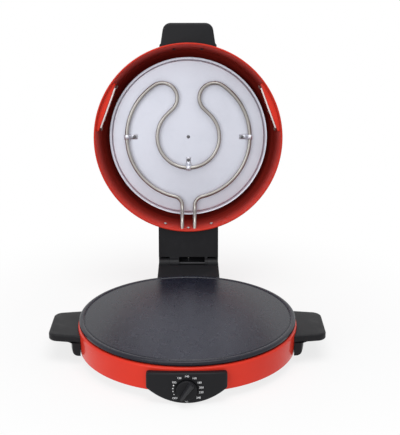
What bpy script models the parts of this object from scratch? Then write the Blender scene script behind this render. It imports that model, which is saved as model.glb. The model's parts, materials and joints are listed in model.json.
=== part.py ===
"""Electric roti maker with its lid open: a round base with a black plate, and a deep lid with a grill element.

Metres, +Z up. The front, with the control panel, faces -Y. The world origin is under the middle of the whole
object at rest, on the surface that it stands on. Pieces of the base are drawn in a frame on the plate's axis.
Pieces of the lid are drawn in the lid's own frame, as if the lid were shut: its origin is where the plate's axis
meets the rim, and +Z runs into the lid. That frame hangs on the hinge, which holds it open.
"""

import math

import bmesh
import bpy
from mathutils import Matrix, Vector

# Clearances and cuts
GAP = 0.0003  # between pieces that touch or fit
OVERRUN = 0.004  # how far a cutter runs past the face that it cuts

# Facets
TURN_STEPS = 54  # large turned pieces
PANEL_STEPS = 144  # the panel's curved face
SMALL_STEPS = 16
SCREW_STEPS = 8
CORNER_STEPS = 4

# Feet and bottom cover
FOOT_HEIGHT = 0.0146
FOOT_RADIUS = 0.012
FOOT_TOE_RADIUS = 0.0095
FOOT_TOE_CHAMFER = 0.002
FOOT_NECK_RADIUS = 0.0032
FOOT_BARB_RADIUS = 0.0046
FOOT_BARB_HEIGHT = 0.003
FRONT_FOOT_INSET = 0.0445  # from the body's radius to the foot's middle
FRONT_FOOT_ANGLE = math.radians(-45.8)
REAR_FOOT_INSET = 0.0257
REAR_FOOT_ANGLE = math.radians(51.3)
COVER_SHEET = 0.0008
COVER_INSET = 0.006
VENT_COUNT = 10
VENT_RING_RADIUS = 0.135
VENT_LENGTH = 0.030
VENT_WIDTH = 0.005

# Base shell
BODY_RADIUS = 0.205
BODY_HEIGHT = 0.047
BODY_DRAFT = 0.0015
BODY_SHEET = 0.001
LIP_ROUND = 0.0045
LEDGE_WIDTH = 0.005
FLANGE_WIDTH = 0.012
FLANGE_ROUND = 0.0016

# Cooking plate
PLATE_INSET = 0.0023
PLATE_RIM_THICKNESS = 0.0095  # from the seat on the body's ledge to the bead's top
PLATE_RIM_LIFT = 0.0032  # the rim's outer edge stands this far above its seat
PLATE_RIM_OVERHANG = 0.0042
PLATE_SKIRT_DEPTH = 0.0025
PLATE_SKIRT_WIDTH = 0.004
PLATE_THICKNESS = 0.008
PLATE_BEAD_RISE = 0.0006
PLATE_BEAD_WIDTH = 0.0078
PLATE_BEAD_CROWN = 0.0044
PLATE_GROOVE_WIDTH = 0.0034
PLATE_GROOVE_DEPTH = 0.0013
PLATE_SKIRT_CLEARANCE = 0.0008
BOSS_RADIUS = 0.010
BOSS_HEIGHT = 0.014

# Lower element, heat shield and centre stud
TUBE_RADIUS = 0.004
LOWER_RING_INSIDE_SHIELD = 0.052
LOWER_RING_OPENING = math.radians(13)
LOWER_TERMINAL_DROP = 0.024
SHIELD_SHEET = 0.0006
SHIELD_WALL_CLEARANCE = 0.033
SHIELD_RIM_HEIGHT = 0.010
SHIELD_FLOOR_HEIGHT = 0.026
SHIELD_FOOT_RADIUS = 0.014
SHIELD_CONE_WIDTH = 0.009
SHIELD_HOLE_RADIUS = 0.0055
STUD_RADIUS = 0.003
STUD_GRIP = 0.011
NUT_RADIUS = 0.0058
NUT_HEIGHT = 0.005
STUD_TAIL = 0.001

# Side handles and lid handle
GRIP_REACH = 0.0518
GRIP_THICKNESS = 0.014
GRIP_ROOT_HALF_WIDTH = 0.060
GRIP_TIP_HALF_WIDTH = 0.0505
GRIP_CORNER = 0.017
GRIP_EDGE = 0.005
LEG_THICKNESS = 0.0138
LEG_DROP = 0.0398
LEG_CORNER = 0.009
HANDLE_FILLET = 0.003
SIDE_GRIP_BELOW_LIP = 0.0078
LID_GRIP_ABOVE_RIM = 0.010
HANDLE_SCREW_SPREAD = math.radians(9)
HANDLE_SCREW_DROP = 0.025
HANDLE_SCREW_BITE = 0.006

# Screws
SCREW_RADIUS = 0.002
SCREW_HEAD_RADIUS = 0.0042
SCREW_HEAD_HEIGHT = 0.002
SCREW_BITE = 0.009

# Control panel, knob and thermostat
PANEL_DEPTH = 0.011
PANEL_HALF_WIDTH = 0.0693
PANEL_BELOW_LIP = 0.0048
PANEL_TOP_BOW = 0.0035
PANEL_CORNER = 0.006
PANEL_SIDE_END = 0.0257
PANEL_LOWEST = 0.002
PANEL_WALL = 0.003
DIAL_RECESS_RADIUS = 0.0205
DIAL_RECESS_DEPTH = 0.0012
KNOB_HEIGHT = 0.028
KNOB_RADIUS = 0.0177
KNOB_DISC_THICKNESS = 0.005
KNOB_DEPTH = 0.015
KNOB_RIDGE_WIDTH = 0.0105
KNOB_RIDGE_CREST_WIDTH = 0.0075
KNOB_CHAMFER = 0.0012
KNOB_LIFT = 0.0010
KNOB_BORE_DEPTH = 0.009
OFF_ANGLE = math.radians(145)
SHAFT_RADIUS = 0.003
SHAFT_FLAT_DEPTH = 0.0008
SHAFT_SEAT_DEPTH = 0.004
THERMOSTAT_WIDTH = 0.034
THERMOSTAT_HEIGHT = 0.020
THERMOSTAT_DEPTH = 0.026
THERMOSTAT_STANDOFF = 0.0006
BUSH_RADIUS = 0.005
PANEL_SCREW_SPREAD = 0.012
PANEL_SCREW_HEAD_RADIUS = 0.0032

# Sensing bulb, terminal block and wires
BULB_RADIUS = 0.003
BULB_INSIDE_SHIELD = 0.020
BULB_ARC = math.radians(26)
CAPILLARY_RADIUS = 0.0009
WIRE_RADIUS = 0.0016
LEAD_RADIUS = 0.0025
TERMINAL_BLOCK_SIZE = Vector((0.044, 0.018, 0.016))
TERMINAL_BLOCK_INSIDE_SHIELD = 0.022
WIRE_HOLE_RADIUS = 0.006
WIRE_HOLE_HEIGHT = 0.034

# Hinge
HINGE_BEHIND_BODY = 0.062
HINGE_ABOVE_LIP = 0.013
KNUCKLE_RADIUS = 0.0105
OUTER_KNUCKLE_INSIDE = 0.041
OUTER_KNUCKLE_OUTSIDE = 0.062
KNUCKLE_SIDE_CLEARANCE = 0.0004
WIDE_KNUCKLE_WIDTH = 0.0205
NARROW_KNUCKLE_WIDTH = 0.0058
PIN_RADIUS = 0.003
PIN_HEAD_RADIUS = 0.005
PIN_HEAD_THICKNESS = 0.002
PIN_SINK = 0.003
PIN_TAIL = 0.0012
PIN_CAP_WALL = 0.001
PIN_CAP_RADIUS = 0.005
OPEN_ANGLE = math.radians(99.2)

# Hinge bracket
BRACKET_BOTTOM = 0.020
BRACKET_FRONT_DROP = 0.001
BRACKET_LIP_RISE = 0.0085
BRACKET_LIP_FRONT = 0.012
BRACKET_LIP_WIDTH = 0.0045
BRACKET_DECK_DROP = 0.009
BRACKET_HEEL = 0.008
BRACKET_WALL = 0.004
BRACKET_ROOF = 0.011
BRACKET_FRONT_WALL = 0.006
BRACKET_TOP_HALF_WIDTH = 0.0635
BRACKET_FOOT_HALF_WIDTH = 0.067
BRACKET_FLARE_TOP_BELOW_AXIS = 0.002
BRACKET_FLARE_FOOT = 0.040
STOP_WALL_RISE = 0.002
STOP_WALL_THICKNESS = 0.004
BRACKET_SCREW_SPREAD = math.radians(12)
BRACKET_SCREW_HEIGHT = 0.042
CORD_HOLE_RADIUS = 0.0065
CORD_HOLE_X = 0.034
CORD_HOLE_HEIGHT = 0.042
BUSH_BORE_RADIUS = 0.0038
BUSH_FLANGE_RADIUS = 0.010
BUSH_FLANGE_THICKNESS = 0.002

# Lid shell
RIM_ABOVE_BEAD = 0.0006
LID_RIM_INSET = 0.0042  # from the plate's edge to the lid's rim
LID_DEPTH = 0.084
LID_CORNER = 0.0285
LID_FLARE_WIDTH = 0.0028  # from the wall out to the curled rim
LID_DRAFT = 0.0094  # how far the wall leans in, from its rim to its corner
LID_FLARE_HEIGHT = 0.0045
LID_SHEET = 0.0008
LID_BEAD_RADIUS = 0.0018

# Window pockets
POCKET_INSET = 0.0137  # from the wall's outer radius to the pocket's floor
POCKET_LOW = 0.010
POCKET_HIGH = 0.048
POCKET_ANGLE = math.radians(20.5)
POCKET_HALF_LENGTH = 0.053
SLOT_HALF_LENGTH = 0.034
SLOT_HEIGHT = 0.026
SLOT_CORNER = 0.007
PANE_THICKNESS = 0.003
PANE_HALF_LENGTH = 0.0445
PANE_MARGIN = 0.002
PANE_CHAMFER = 0.0006
RIVET_RADIUS = 0.002
RIVET_HEAD_RADIUS = 0.0044
RIVET_HEAD_HEIGHT = 0.0018
RIVET_CLEARANCE = 0.001

# Reflector and upper element
REFLECTOR_DEPTH = 0.057
REFLECTOR_REACH = 0.0119  # past the flat of the lid's top, into its corner
REFLECTOR_SHEET = 0.0006
REFLECTOR_FLANGE_WIDTH = 0.0045
REFLECTOR_STEP = 0.003
REFLECTOR_STEP_WIDTH = 0.0025
REFLECTOR_LIP = 0.0018
POST_RADIUS = 0.006
POST_END_WALL = 0.003
ELEMENT_DEPTH = 0.047
ELEMENT_WALL_CLEARANCE = 0.0637
ELEMENT_RING_RADIUS = 0.0665
ELEMENT_LOOP_RADIUS = 0.032
ELEMENT_NECK_HALF_GAP = 0.0235
ELEMENT_LEG_HALF_SPACING = 0.0135
ELEMENT_LEG_BEND_RADIUS = 0.020
ELEMENT_LEG_DEPTH = 0.0145
ELEMENT_LEG_PAST_WALL = 0.016
ELEMENT_LEG_LEVEL_RUN = 0.010
ELEMENT_POINT_SPACING = 0.0105
CLIP_WIDTH = 0.010
CLIP_THICKNESS = 0.001
CLIP_CLEARANCE = 0.0006  # the tube curves under the strap, so this is more than the common gap
CLIP_PAD_LENGTH = 0.012
CLIP_PAD_START = 0.0105
ELEMENT_FLANGE_HALF_WIDTH = 0.021
ELEMENT_FLANGE_HEIGHT = 0.011
ELEMENT_FLANGE_THICKNESS = 0.0015

# Lid arm
ARM_HALF_WIDTH = 0.0635
ARM_FACE_ABOVE_AXIS = 0.0024
ARM_RELIEF = 0.0031
ARM_TAIL_RISE = 0.0160
ARM_TAIL_THICKNESS = 0.0040
ARM_TAIL_RUN = 0.0090
ARM_SHOULDER_BEFORE_AXIS = 0.052
ARM_SHOULDER_RISE = 0.0385
ARM_LID_RISE = 0.0405
ARM_SHELF_END_BEFORE_AXIS = 0.0125
ARM_WALL = 0.0035
ARM_CAVITY_HALF_WIDTH = 0.030
ARM_CAVITY_END_BEFORE_AXIS = 0.018
ARM_SCREW_SPREAD = math.radians(15)
ARM_SCREW_DEPTH = 0.023

# Places worked out from the sizes above
COVER_RADIUS = BODY_RADIUS - COVER_INSET
PLATE_RADIUS = BODY_RADIUS - PLATE_INSET
SHIELD_RADIUS = BODY_RADIUS - SHIELD_WALL_CLEARANCE
LOWER_RING_RADIUS = SHIELD_RADIUS - LOWER_RING_INSIDE_SHIELD
BULB_RING_RADIUS = SHIELD_RADIUS - BULB_INSIDE_SHIELD
TERMINAL_BLOCK_Y = SHIELD_RADIUS - TERMINAL_BLOCK_INSIDE_SHIELD
COVER_BOTTOM = FOOT_HEIGHT + GAP
COVER_TOP = COVER_BOTTOM + COVER_SHEET
BODY_BOTTOM = COVER_TOP + GAP
BODY_TOP = BODY_BOTTOM + BODY_HEIGHT
PLATE_SEAT = BODY_TOP + GAP
PLATE_BEAD_TOP = PLATE_SEAT + PLATE_RIM_THICKNESS
PLATE_TOP = PLATE_BEAD_TOP - PLATE_BEAD_RISE
PLATE_BOTTOM = PLATE_TOP - PLATE_THICKNESS
LEDGE_INNER_RADIUS = BODY_RADIUS - LIP_ROUND - LEDGE_WIDTH
HINGE_Y = BODY_RADIUS + HINGE_BEHIND_BODY
HINGE_Z = BODY_TOP + HINGE_ABOVE_LIP
RIM_Z = PLATE_BEAD_TOP + RIM_ABOVE_BEAD
HINGE_DEPTH = HINGE_Z - RIM_Z  # the hinge's height in the lid's frame
LID_RIM_RADIUS = PLATE_RADIUS - LID_RIM_INSET
LID_WALL_RADIUS = LID_RIM_RADIUS - LID_FLARE_WIDTH
LID_CORNER_RADIUS = LID_WALL_RADIUS - LID_DRAFT
LID_TOP_RADIUS = LID_CORNER_RADIUS - LID_CORNER
POCKET_DISTANCE = LID_WALL_RADIUS - POCKET_INSET
REFLECTOR_RADIUS = LID_TOP_RADIUS + REFLECTOR_REACH
ELEMENT_OUTER_RADIUS = LID_WALL_RADIUS - ELEMENT_WALL_CLEARANCE
PANEL_FACE_RADIUS = BODY_RADIUS + PANEL_DEPTH
DIAL_FLOOR_Y = DIAL_RECESS_DEPTH - PANEL_FACE_RADIUS
KNOB_BACK_Y = DIAL_FLOOR_Y - KNOB_LIFT

# The object's reach to the front and to the rear of the plate's axis, which centres it on the origin
FRONT_REACH = KNOB_DEPTH - KNOB_BACK_Y
REAR_REACH = (
    HINGE_Y
    - (HINGE_Y + LID_TOP_RADIUS) * math.cos(OPEN_ANGLE)
    + (LID_DEPTH - LID_CORNER - HINGE_DEPTH) * math.sin(OPEN_ANGLE)
    + LID_CORNER
)
PLATE_AXIS_Y = (FRONT_REACH - REAR_REACH) / 2

# Base colours and finishes: name, colour, roughness, metallic, alpha
FINISHES = {
    "red_paint": ((0.77, 0.10, 0.06), 0.25, 0.0, 1.0),
    "black_plastic": ((0.035, 0.036, 0.040), 0.45, 0.0, 1.0),
    "nonstick": ((0.045, 0.047, 0.060), 0.38, 0.3, 1.0),
    "bare_aluminium": ((0.62, 0.66, 0.72), 0.35, 0.9, 1.0),
    "element_steel": ((0.36, 0.34, 0.31), 0.35, 0.9, 1.0),
    "zinc_steel": ((0.50, 0.50, 0.50), 0.40, 0.9, 1.0),
    "window_glass": ((0.80, 0.88, 0.86), 0.05, 0.0, 0.35),
    "foot_rubber": ((0.03, 0.03, 0.03), 0.80, 0.0, 1.0),
    "white_ceramic": ((0.80, 0.78, 0.72), 0.40, 0.0, 1.0),
    "red_wire": ((0.60, 0.05, 0.04), 0.55, 0.0, 1.0),
    "pale_sleeve": ((0.70, 0.68, 0.60), 0.80, 0.0, 1.0),
}


def clear_scene():
    for obj in list(bpy.data.objects):
        bpy.data.objects.remove(obj)


def new_collection(name):
    collection = bpy.data.collections.new(name)
    bpy.context.scene.collection.children.link(collection)
    return collection


def make_finish(name):
    colour, roughness, metallic, alpha = FINISHES[name]
    material = bpy.data.materials.new(name)
    material.use_nodes = True
    shader = material.node_tree.nodes["Principled BSDF"]
    shader.inputs["Base Color"].default_value = (*colour, 1)
    shader.inputs["Roughness"].default_value = roughness
    shader.inputs["Metallic"].default_value = metallic
    shader.inputs["Alpha"].default_value = alpha
    return material


clear_scene()
PARTS = new_collection("electric_roti_maker")
CUTTERS = new_collection("cutters")
CUTTERS.hide_render = True
MATERIALS = {name: make_finish(name) for name in FINISHES}


def new_empty(name, parent, location, rotation=(0, 0, 0)):
    empty = bpy.data.objects.new(name, None)
    PARTS.objects.link(empty)
    empty.parent = parent
    empty.location = location
    empty.rotation_euler = rotation
    return empty


BASE = new_empty("base_axis", None, (0, PLATE_AXIS_Y, 0))
HINGE = new_empty("lid_hinge_axis", BASE, (0, HINGE_Y, HINGE_Z), (-OPEN_ANGLE, 0, 0))
LID = new_empty("lid_frame", HINGE, (0, -HINGE_Y, -HINGE_DEPTH))
KNOB = new_empty("knob_axis", BASE, (0, KNOB_BACK_Y, KNOB_HEIGHT), (math.pi / 2, 0, 0))

# Turns an outline drawn in X and Y so that it is a side view, Y and Z, or a front view, X and Z
SIDE_VIEW = Matrix(((0, 0, 1, 0), (1, 0, 0, 0), (0, 1, 0, 0), (0, 0, 0, 1)))
FRONT_VIEW = Matrix.Rotation(math.pi / 2, 4, "X")


def link(obj, frame, finish):
    """Puts an object in the model with its finish, or among the cutters if it has none."""
    obj.parent = frame
    if finish is None:
        CUTTERS.objects.link(obj)
        obj.hide_render = True
        obj.display_type = "WIRE"
    else:
        PARTS.objects.link(obj)
        obj.data.materials.append(MATERIALS[finish])
    return obj


def smooth(mesh):
    mesh.shade_smooth()
    mesh.set_sharp_from_angle(angle=math.radians(35))


def from_bmesh(name, bm, frame, finish, place=None):
    mesh = bpy.data.meshes.new(name)
    bm.to_mesh(mesh)
    bm.free()
    if place is not None:
        mesh.transform(place)
    smooth(mesh)
    return link(bpy.data.objects.new(name, mesh), frame, finish)


def turned(name, profile, frame, finish, steps=TURN_STEPS, sheet=None, place=None):
    """A profile of (radius, height) turned about Z, down its outer side. A sheet is given its thickness."""
    bm = bmesh.new()
    points = [bm.verts.new((radius, 0, height)) for radius, height in profile]
    for one, two in zip(points, points[1:]):
        bm.edges.new((one, two))
    obj = from_bmesh(name, bm, frame, finish)
    if place is not None:
        obj.matrix_local = place
    screw = obj.modifiers.new("turn", "SCREW")
    screw.steps = screw.render_steps = steps
    screw.use_merge_vertices = True
    screw.merge_threshold = 1e-5
    screw.use_smooth_shade = True
    if sheet is not None:
        solidify = obj.modifiers.new("sheet", "SOLIDIFY")
        solidify.thickness = sheet
        solidify.offset = -1
        solidify.use_even_offset = True
    return obj


def box(name, low, high, frame, finish):
    low, high = Vector(low), Vector(high)
    bm = bmesh.new()
    bmesh.ops.create_cube(bm, size=1)
    bmesh.ops.scale(bm, vec=high - low, verts=bm.verts)
    bmesh.ops.translate(bm, vec=(low + high) / 2, verts=bm.verts)
    return from_bmesh(name, bm, frame, finish)


def rod_matrix(start, end):
    """Places a shape that runs along Z, centred on the origin, between two points."""
    start, end = Vector(start), Vector(end)
    turn = (end - start).to_track_quat("Z", "Y").to_matrix().to_4x4()
    return Matrix.Translation((start + end) / 2) @ turn


def add_rod(bm, start, end, radius, steps=SMALL_STEPS, turn=0.0):
    length = (Vector(end) - Vector(start)).length
    place = rod_matrix(start, end) @ Matrix.Rotation(turn, 4, "Z")
    bmesh.ops.create_cone(
        bm, cap_ends=True, segments=steps, radius1=radius, radius2=radius, depth=length, matrix=place
    )


def rods(name, ends, frame, finish=None, steps=SMALL_STEPS, turn=0.0):
    """Round bars, each (start, end, radius), as one object."""
    bm = bmesh.new()
    for start, end, radius in ends:
        add_rod(bm, start, end, radius, steps, turn)
    return from_bmesh(name, bm, frame, finish)


def mesh_from_curve(name, curve, frame, finish, place=None):
    """The solid of a curve, as a mesh whose caps are welded to its sides."""
    source = bpy.data.objects.new(name + "_curve", curve)
    CUTTERS.objects.link(source)
    graph = bpy.context.evaluated_depsgraph_get()
    mesh = bpy.data.meshes.new_from_object(source.evaluated_get(graph))
    bpy.data.objects.remove(source)
    bm = bmesh.new()
    bm.from_mesh(mesh)
    bmesh.ops.remove_doubles(bm, verts=bm.verts, dist=1e-6)
    bpy.data.meshes.remove(mesh)
    return from_bmesh(name, bm, frame, finish, place)


def prism(name, outline, thickness, frame, finish=None, view=None):
    """A flat closed outline, given as (x, y) points, thickened about its plane."""
    curve = bpy.data.curves.new(name, "CURVE")
    curve.dimensions = "2D"
    curve.fill_mode = "BOTH"
    curve.extrude = thickness / 2
    spline = curve.splines.new("POLY")
    spline.points.add(len(outline) - 1)
    for point, (x, y) in zip(spline.points, outline):
        point.co = (x, y, 0, 1)
    spline.use_cyclic_u = True
    return mesh_from_curve(name, curve, frame, finish, view)


def tube(name, path, radius, frame, finish, resolution=2, swell=None):
    """A round bar along a path. swell gives each point's share of the radius."""
    curve = bpy.data.curves.new(name, "CURVE")
    curve.dimensions = "3D"
    curve.bevel_depth = radius
    curve.bevel_resolution = resolution
    curve.use_fill_caps = True
    spline = curve.splines.new("POLY")
    spline.points.add(len(path) - 1)
    for index, point in enumerate(path):
        spline.points[index].co = (*point, 1)
        if swell is not None:
            spline.points[index].radius = swell[index]
    obj = bpy.data.objects.new(name, curve)
    return link(obj, frame, finish)


def boolean(obj, other, operation="DIFFERENCE"):
    modifier = obj.modifiers.new(operation.lower(), "BOOLEAN")
    modifier.operation = operation
    modifier.object = other
    return obj


def bevel(obj, width, segments=2, angle=50):
    modifier = obj.modifiers.new("edge", "BEVEL")
    modifier.width = width
    modifier.segments = segments
    modifier.limit_method = "ANGLE"
    modifier.angle_limit = math.radians(angle)
    return obj


def arc(centre, radius, start, end, steps):
    """Points round a centre from one angle to the other, both ends included."""
    return [
        (
            centre[0] + radius * math.cos(start + (end - start) * step / steps),
            centre[1] + radius * math.sin(start + (end - start) * step / steps),
        )
        for step in range(steps + 1)
    ]


def rounded(corners, steps=CORNER_STEPS):
    """An outline from (x, y, radius) corners, in order, each corner with a radius made an arc."""
    outline = []
    for index, (x, y, radius) in enumerate(corners):
        corner = Vector((x, y))
        if not radius:
            outline.append((x, y))
            continue
        before = (Vector(corners[index - 1][:2]) - corner).normalized()
        after = (Vector(corners[(index + 1) % len(corners)][:2]) - corner).normalized()
        half = before.angle(after) / 2
        centre = corner + (before + after).normalized() * radius / math.sin(half)
        first = corner + before * radius / math.tan(half) - centre
        swept = (corner + after * radius / math.tan(half) - centre).angle_signed(first)
        start = math.atan2(first.y, first.x)
        outline += arc(centre, radius, start, start + swept, steps)
    return outline


def mirrored(half):
    """An outline symmetric in x from its half at x > 0, given from its first point round to its last."""
    return half + [(-x, y) for x, y in reversed(half)]


def around(radius, angle, height):
    """The point at an angle about Z, from +X."""
    return Vector((radius * math.cos(angle), radius * math.sin(angle), height))


def flat_radius(radius, steps=TURN_STEPS):
    """The radius at the middle of a facet, the least that a turned wall has."""
    return radius * math.cos(math.pi / steps)


def body_radius_at(height):
    return BODY_RADIUS - BODY_DRAFT * (BODY_TOP - height) / BODY_HEIGHT


def lid_radius_at(depth):
    """The lid wall's outer radius."""
    straight = LID_DEPTH - LID_CORNER - LID_FLARE_HEIGHT
    return LID_WALL_RADIUS - LID_DRAFT * (depth - LID_FLARE_HEIGHT) / straight


def screw(name, seat, direction, grip, frame, head_radius=SCREW_HEAD_RADIUS):
    """A screw whose head's underside lies at seat, and whose shank runs that far along direction."""
    profile = [
        (0, grip),
        (SCREW_RADIUS, grip),
        (SCREW_RADIUS, 0),
        (head_radius, 0),
        (head_radius, -SCREW_HEAD_HEIGHT / 2),
        (head_radius * 2 / 3, -SCREW_HEAD_HEIGHT),
        (0, -SCREW_HEAD_HEIGHT),
    ]
    turn = Vector(direction).to_track_quat("Z", "Y").to_matrix().to_4x4()
    place = Matrix.Translation(seat) @ turn
    return turned(name, profile, frame, "zinc_steel", SCREW_STEPS, place=place)


def radial_screws(names, angles, height, wall_radius, wall, frame, bite=SCREW_BITE):
    """Screws from inside a turned wall outwards, with what their holes need: (start, end, radius) of each.

    The wall's radius is the smallest that it has under the screws' heads.
    """
    holes = []
    for name, angle in zip(names, angles):
        direction = around(1, angle, 0)
        seat = flat_radius(wall_radius - wall) - GAP
        grip = wall_radius - seat + bite
        screw(name, around(seat, angle, height), direction, grip, frame)
        start = around(seat - OVERRUN, angle, height)
        end = around(seat + grip + GAP, angle, height)
        holes.append((start, end, SCREW_RADIUS + GAP))
    return holes


# Base: cover, feet, shell and plate



def foot_places():
    """The X and Y of each foot's middle."""
    front = around(BODY_RADIUS - FRONT_FOOT_INSET, FRONT_FOOT_ANGLE, 0)
    rear = around(BODY_RADIUS - REAR_FOOT_INSET, REAR_FOOT_ANGLE, 0)
    places = {}
    for side, sign in (("left", -1), ("right", 1)):
        places[f"foot_front_{side}"] = (sign * front.x, front.y)
        places[f"foot_rear_{side}"] = (sign * rear.x, rear.y)
    return places


def make_feet():
    """Push-in rubber feet, whose necks pass through the cover."""
    barb = COVER_TOP + GAP
    profile = [
        (0, barb + FOOT_BARB_HEIGHT),
        (FOOT_NECK_RADIUS, barb + FOOT_BARB_HEIGHT),
        (FOOT_BARB_RADIUS, barb),
        (FOOT_NECK_RADIUS, barb),
        (FOOT_NECK_RADIUS, FOOT_HEIGHT),
        (FOOT_RADIUS, FOOT_HEIGHT),
        (FOOT_TOE_RADIUS + FOOT_TOE_CHAMFER, FOOT_TOE_CHAMFER),
        (FOOT_TOE_RADIUS, 0),
        (0, 0),
    ]
    for name, (x, y) in foot_places().items():
        turned(name, profile, BASE, "foot_rubber", SMALL_STEPS, place=Matrix.Translation((x, y, 0)))


def make_bottom_cover():
    low, high = COVER_BOTTOM, COVER_TOP
    cover = rods("bottom_cover", [((0, 0, low), (0, 0, high), COVER_RADIUS)], BASE, "zinc_steel", TURN_STEPS)
    places = [(x, y, FOOT_NECK_RADIUS + GAP) for x, y in foot_places().values()] + [(0, 0, STUD_RADIUS + GAP)]
    holes = [((x, y, low - OVERRUN), (x, y, high + OVERRUN), radius) for x, y, radius in places]
    boolean(cover, rods("cover_holes", holes, BASE))
    bm = bmesh.new()
    for index in range(VENT_COUNT):
        turn = Matrix.Rotation(math.tau * index / VENT_COUNT, 4, "Z")
        size = Matrix.Diagonal((VENT_LENGTH, VENT_WIDTH, high - low + OVERRUN, 1))
        place = turn @ Matrix.Translation((VENT_RING_RADIUS, 0, (low + high) / 2)) @ size
        bmesh.ops.create_cube(bm, size=1, matrix=place)
    boolean(cover, from_bmesh("cover_vents", bm, BASE, None))


def make_base_shell(holes):
    lip = BODY_RADIUS - LIP_ROUND
    foot = BODY_RADIUS - BODY_DRAFT
    bend = LIP_ROUND * math.sqrt(0.5)
    profile = [
        (LEDGE_INNER_RADIUS, BODY_TOP),
        (lip, BODY_TOP),
        (lip + bend, BODY_TOP - LIP_ROUND + bend),
        (BODY_RADIUS, BODY_TOP - LIP_ROUND),
        (foot, BODY_BOTTOM + FLANGE_ROUND),
        (foot - FLANGE_ROUND, BODY_BOTTOM),
        (foot - FLANGE_WIDTH, BODY_BOTTOM),
    ]
    shell = turned("base_shell", profile, BASE, "red_paint", sheet=BODY_SHEET)
    boolean(shell, rods("base_shell_holes", holes, BASE))


def make_cooking_plate():
    """The casting: groove, bead and rim above, and below it the seat, skirt, element's groove and boss."""
    bead_outer = PLATE_RADIUS
    crown = bead_outer - PLATE_BEAD_CROWN
    bead_inner = bead_outer - PLATE_BEAD_WIDTH
    groove = bead_inner - PLATE_GROOVE_WIDTH / 2
    rim_low = PLATE_SEAT + PLATE_RIM_LIFT
    rim_middle = (PLATE_BEAD_TOP + rim_low) / 2
    seat_edge = PLATE_RADIUS - PLATE_RIM_OVERHANG
    skirt = LEDGE_INNER_RADIUS - PLATE_SKIRT_CLEARANCE
    skirt_low = PLATE_SEAT - PLATE_SKIRT_DEPTH
    channel = TUBE_RADIUS + GAP
    ring = LOWER_RING_RADIUS
    bore_top = PLATE_BOTTOM - BOSS_HEIGHT + STUD_GRIP + GAP
    bore = STUD_RADIUS + GAP
    profile = [
        (0, PLATE_TOP),
        (bead_inner - PLATE_GROOVE_WIDTH, PLATE_TOP),
        (groove, PLATE_TOP - PLATE_GROOVE_DEPTH),
        (bead_inner, (PLATE_TOP + PLATE_BEAD_TOP) / 2),
        (crown, PLATE_BEAD_TOP),
        ((crown + bead_outer) / 2, PLATE_BEAD_TOP - (PLATE_BEAD_TOP - rim_middle) / 3),
        (bead_outer, rim_middle),
        (bead_outer, rim_low),
        (seat_edge, rim_low),
        (seat_edge, PLATE_SEAT),
        (skirt, PLATE_SEAT),
        (skirt, skirt_low),
        (skirt - PLATE_SKIRT_WIDTH, skirt_low),
        (skirt - PLATE_SKIRT_WIDTH, PLATE_BOTTOM),
        (ring + channel, PLATE_BOTTOM),
        (ring + channel / 2, PLATE_BOTTOM + channel),
        (ring - channel / 2, PLATE_BOTTOM + channel),
        (ring - channel, PLATE_BOTTOM),
        (BOSS_RADIUS, PLATE_BOTTOM),
        (BOSS_RADIUS, PLATE_BOTTOM - BOSS_HEIGHT),
        (bore, PLATE_BOTTOM - BOSS_HEIGHT),
        (bore, bore_top),
        (0, bore_top),
    ]
    turned("cooking_plate", profile, BASE, "nonstick")


def lower_terminals():
    """Where the lower element's two ends point down, left then right."""
    angles = (math.pi / 2 + LOWER_RING_OPENING / 2, math.pi / 2 - LOWER_RING_OPENING / 2)
    return [around(LOWER_RING_RADIUS, angle, 0) for angle in angles]


LOWER_RING_Z = PLATE_BOTTOM - TUBE_RADIUS / 2 - GAP


def make_lower_element():
    """A ring pressed against the plate's groove, its two ends turned down through the shield."""
    steps = round(math.tau * LOWER_RING_RADIUS / ELEMENT_POINT_SPACING / 2)
    start = math.pi / 2 + LOWER_RING_OPENING / 2
    swept = math.tau - LOWER_RING_OPENING
    left, right = lower_terminals()
    bend = 2 * TUBE_RADIUS
    low = LOWER_RING_Z - LOWER_TERMINAL_DROP
    inset = bend / LOWER_RING_RADIUS
    ring = [
        around(LOWER_RING_RADIUS, start + inset + (swept - 2 * inset) * step / steps, LOWER_RING_Z)
        for step in range(steps + 1)
    ]
    lowered = LOWER_RING_Z - bend / 3
    head = [(left.x, left.y, low), (left.x, left.y, LOWER_RING_Z - bend)]
    head.append(around(LOWER_RING_RADIUS, start + inset / 3, lowered))
    tail = [around(LOWER_RING_RADIUS, start + swept - inset / 3, lowered)]
    tail += [(right.x, right.y, LOWER_RING_Z - bend), (right.x, right.y, low)]
    tube("lower_element", head + ring + tail, TUBE_RADIUS, BASE, "element_steel")


def make_heat_shield():
    """A dish that stands on the cover at its middle, round the stud."""
    low = COVER_TOP + GAP + SHIELD_SHEET
    floor = low + SHIELD_FLOOR_HEIGHT
    profile = [
        (STUD_RADIUS + GAP, low),
        (SHIELD_FOOT_RADIUS, low),
        (SHIELD_FOOT_RADIUS + SHIELD_CONE_WIDTH, floor),
        (SHIELD_RADIUS - SHIELD_RIM_HEIGHT / 2, floor),
        (SHIELD_RADIUS, floor + SHIELD_RIM_HEIGHT),
    ]
    shield = turned("heat_shield", profile, BASE, "bare_aluminium", 48, sheet=SHIELD_SHEET)
    holes = [
        ((place.x, place.y, floor - OVERRUN), (place.x, place.y, floor + OVERRUN), SHIELD_HOLE_RADIUS)
        for place in lower_terminals()
    ]
    boolean(shield, rods("heat_shield_holes", holes, BASE))


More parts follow.
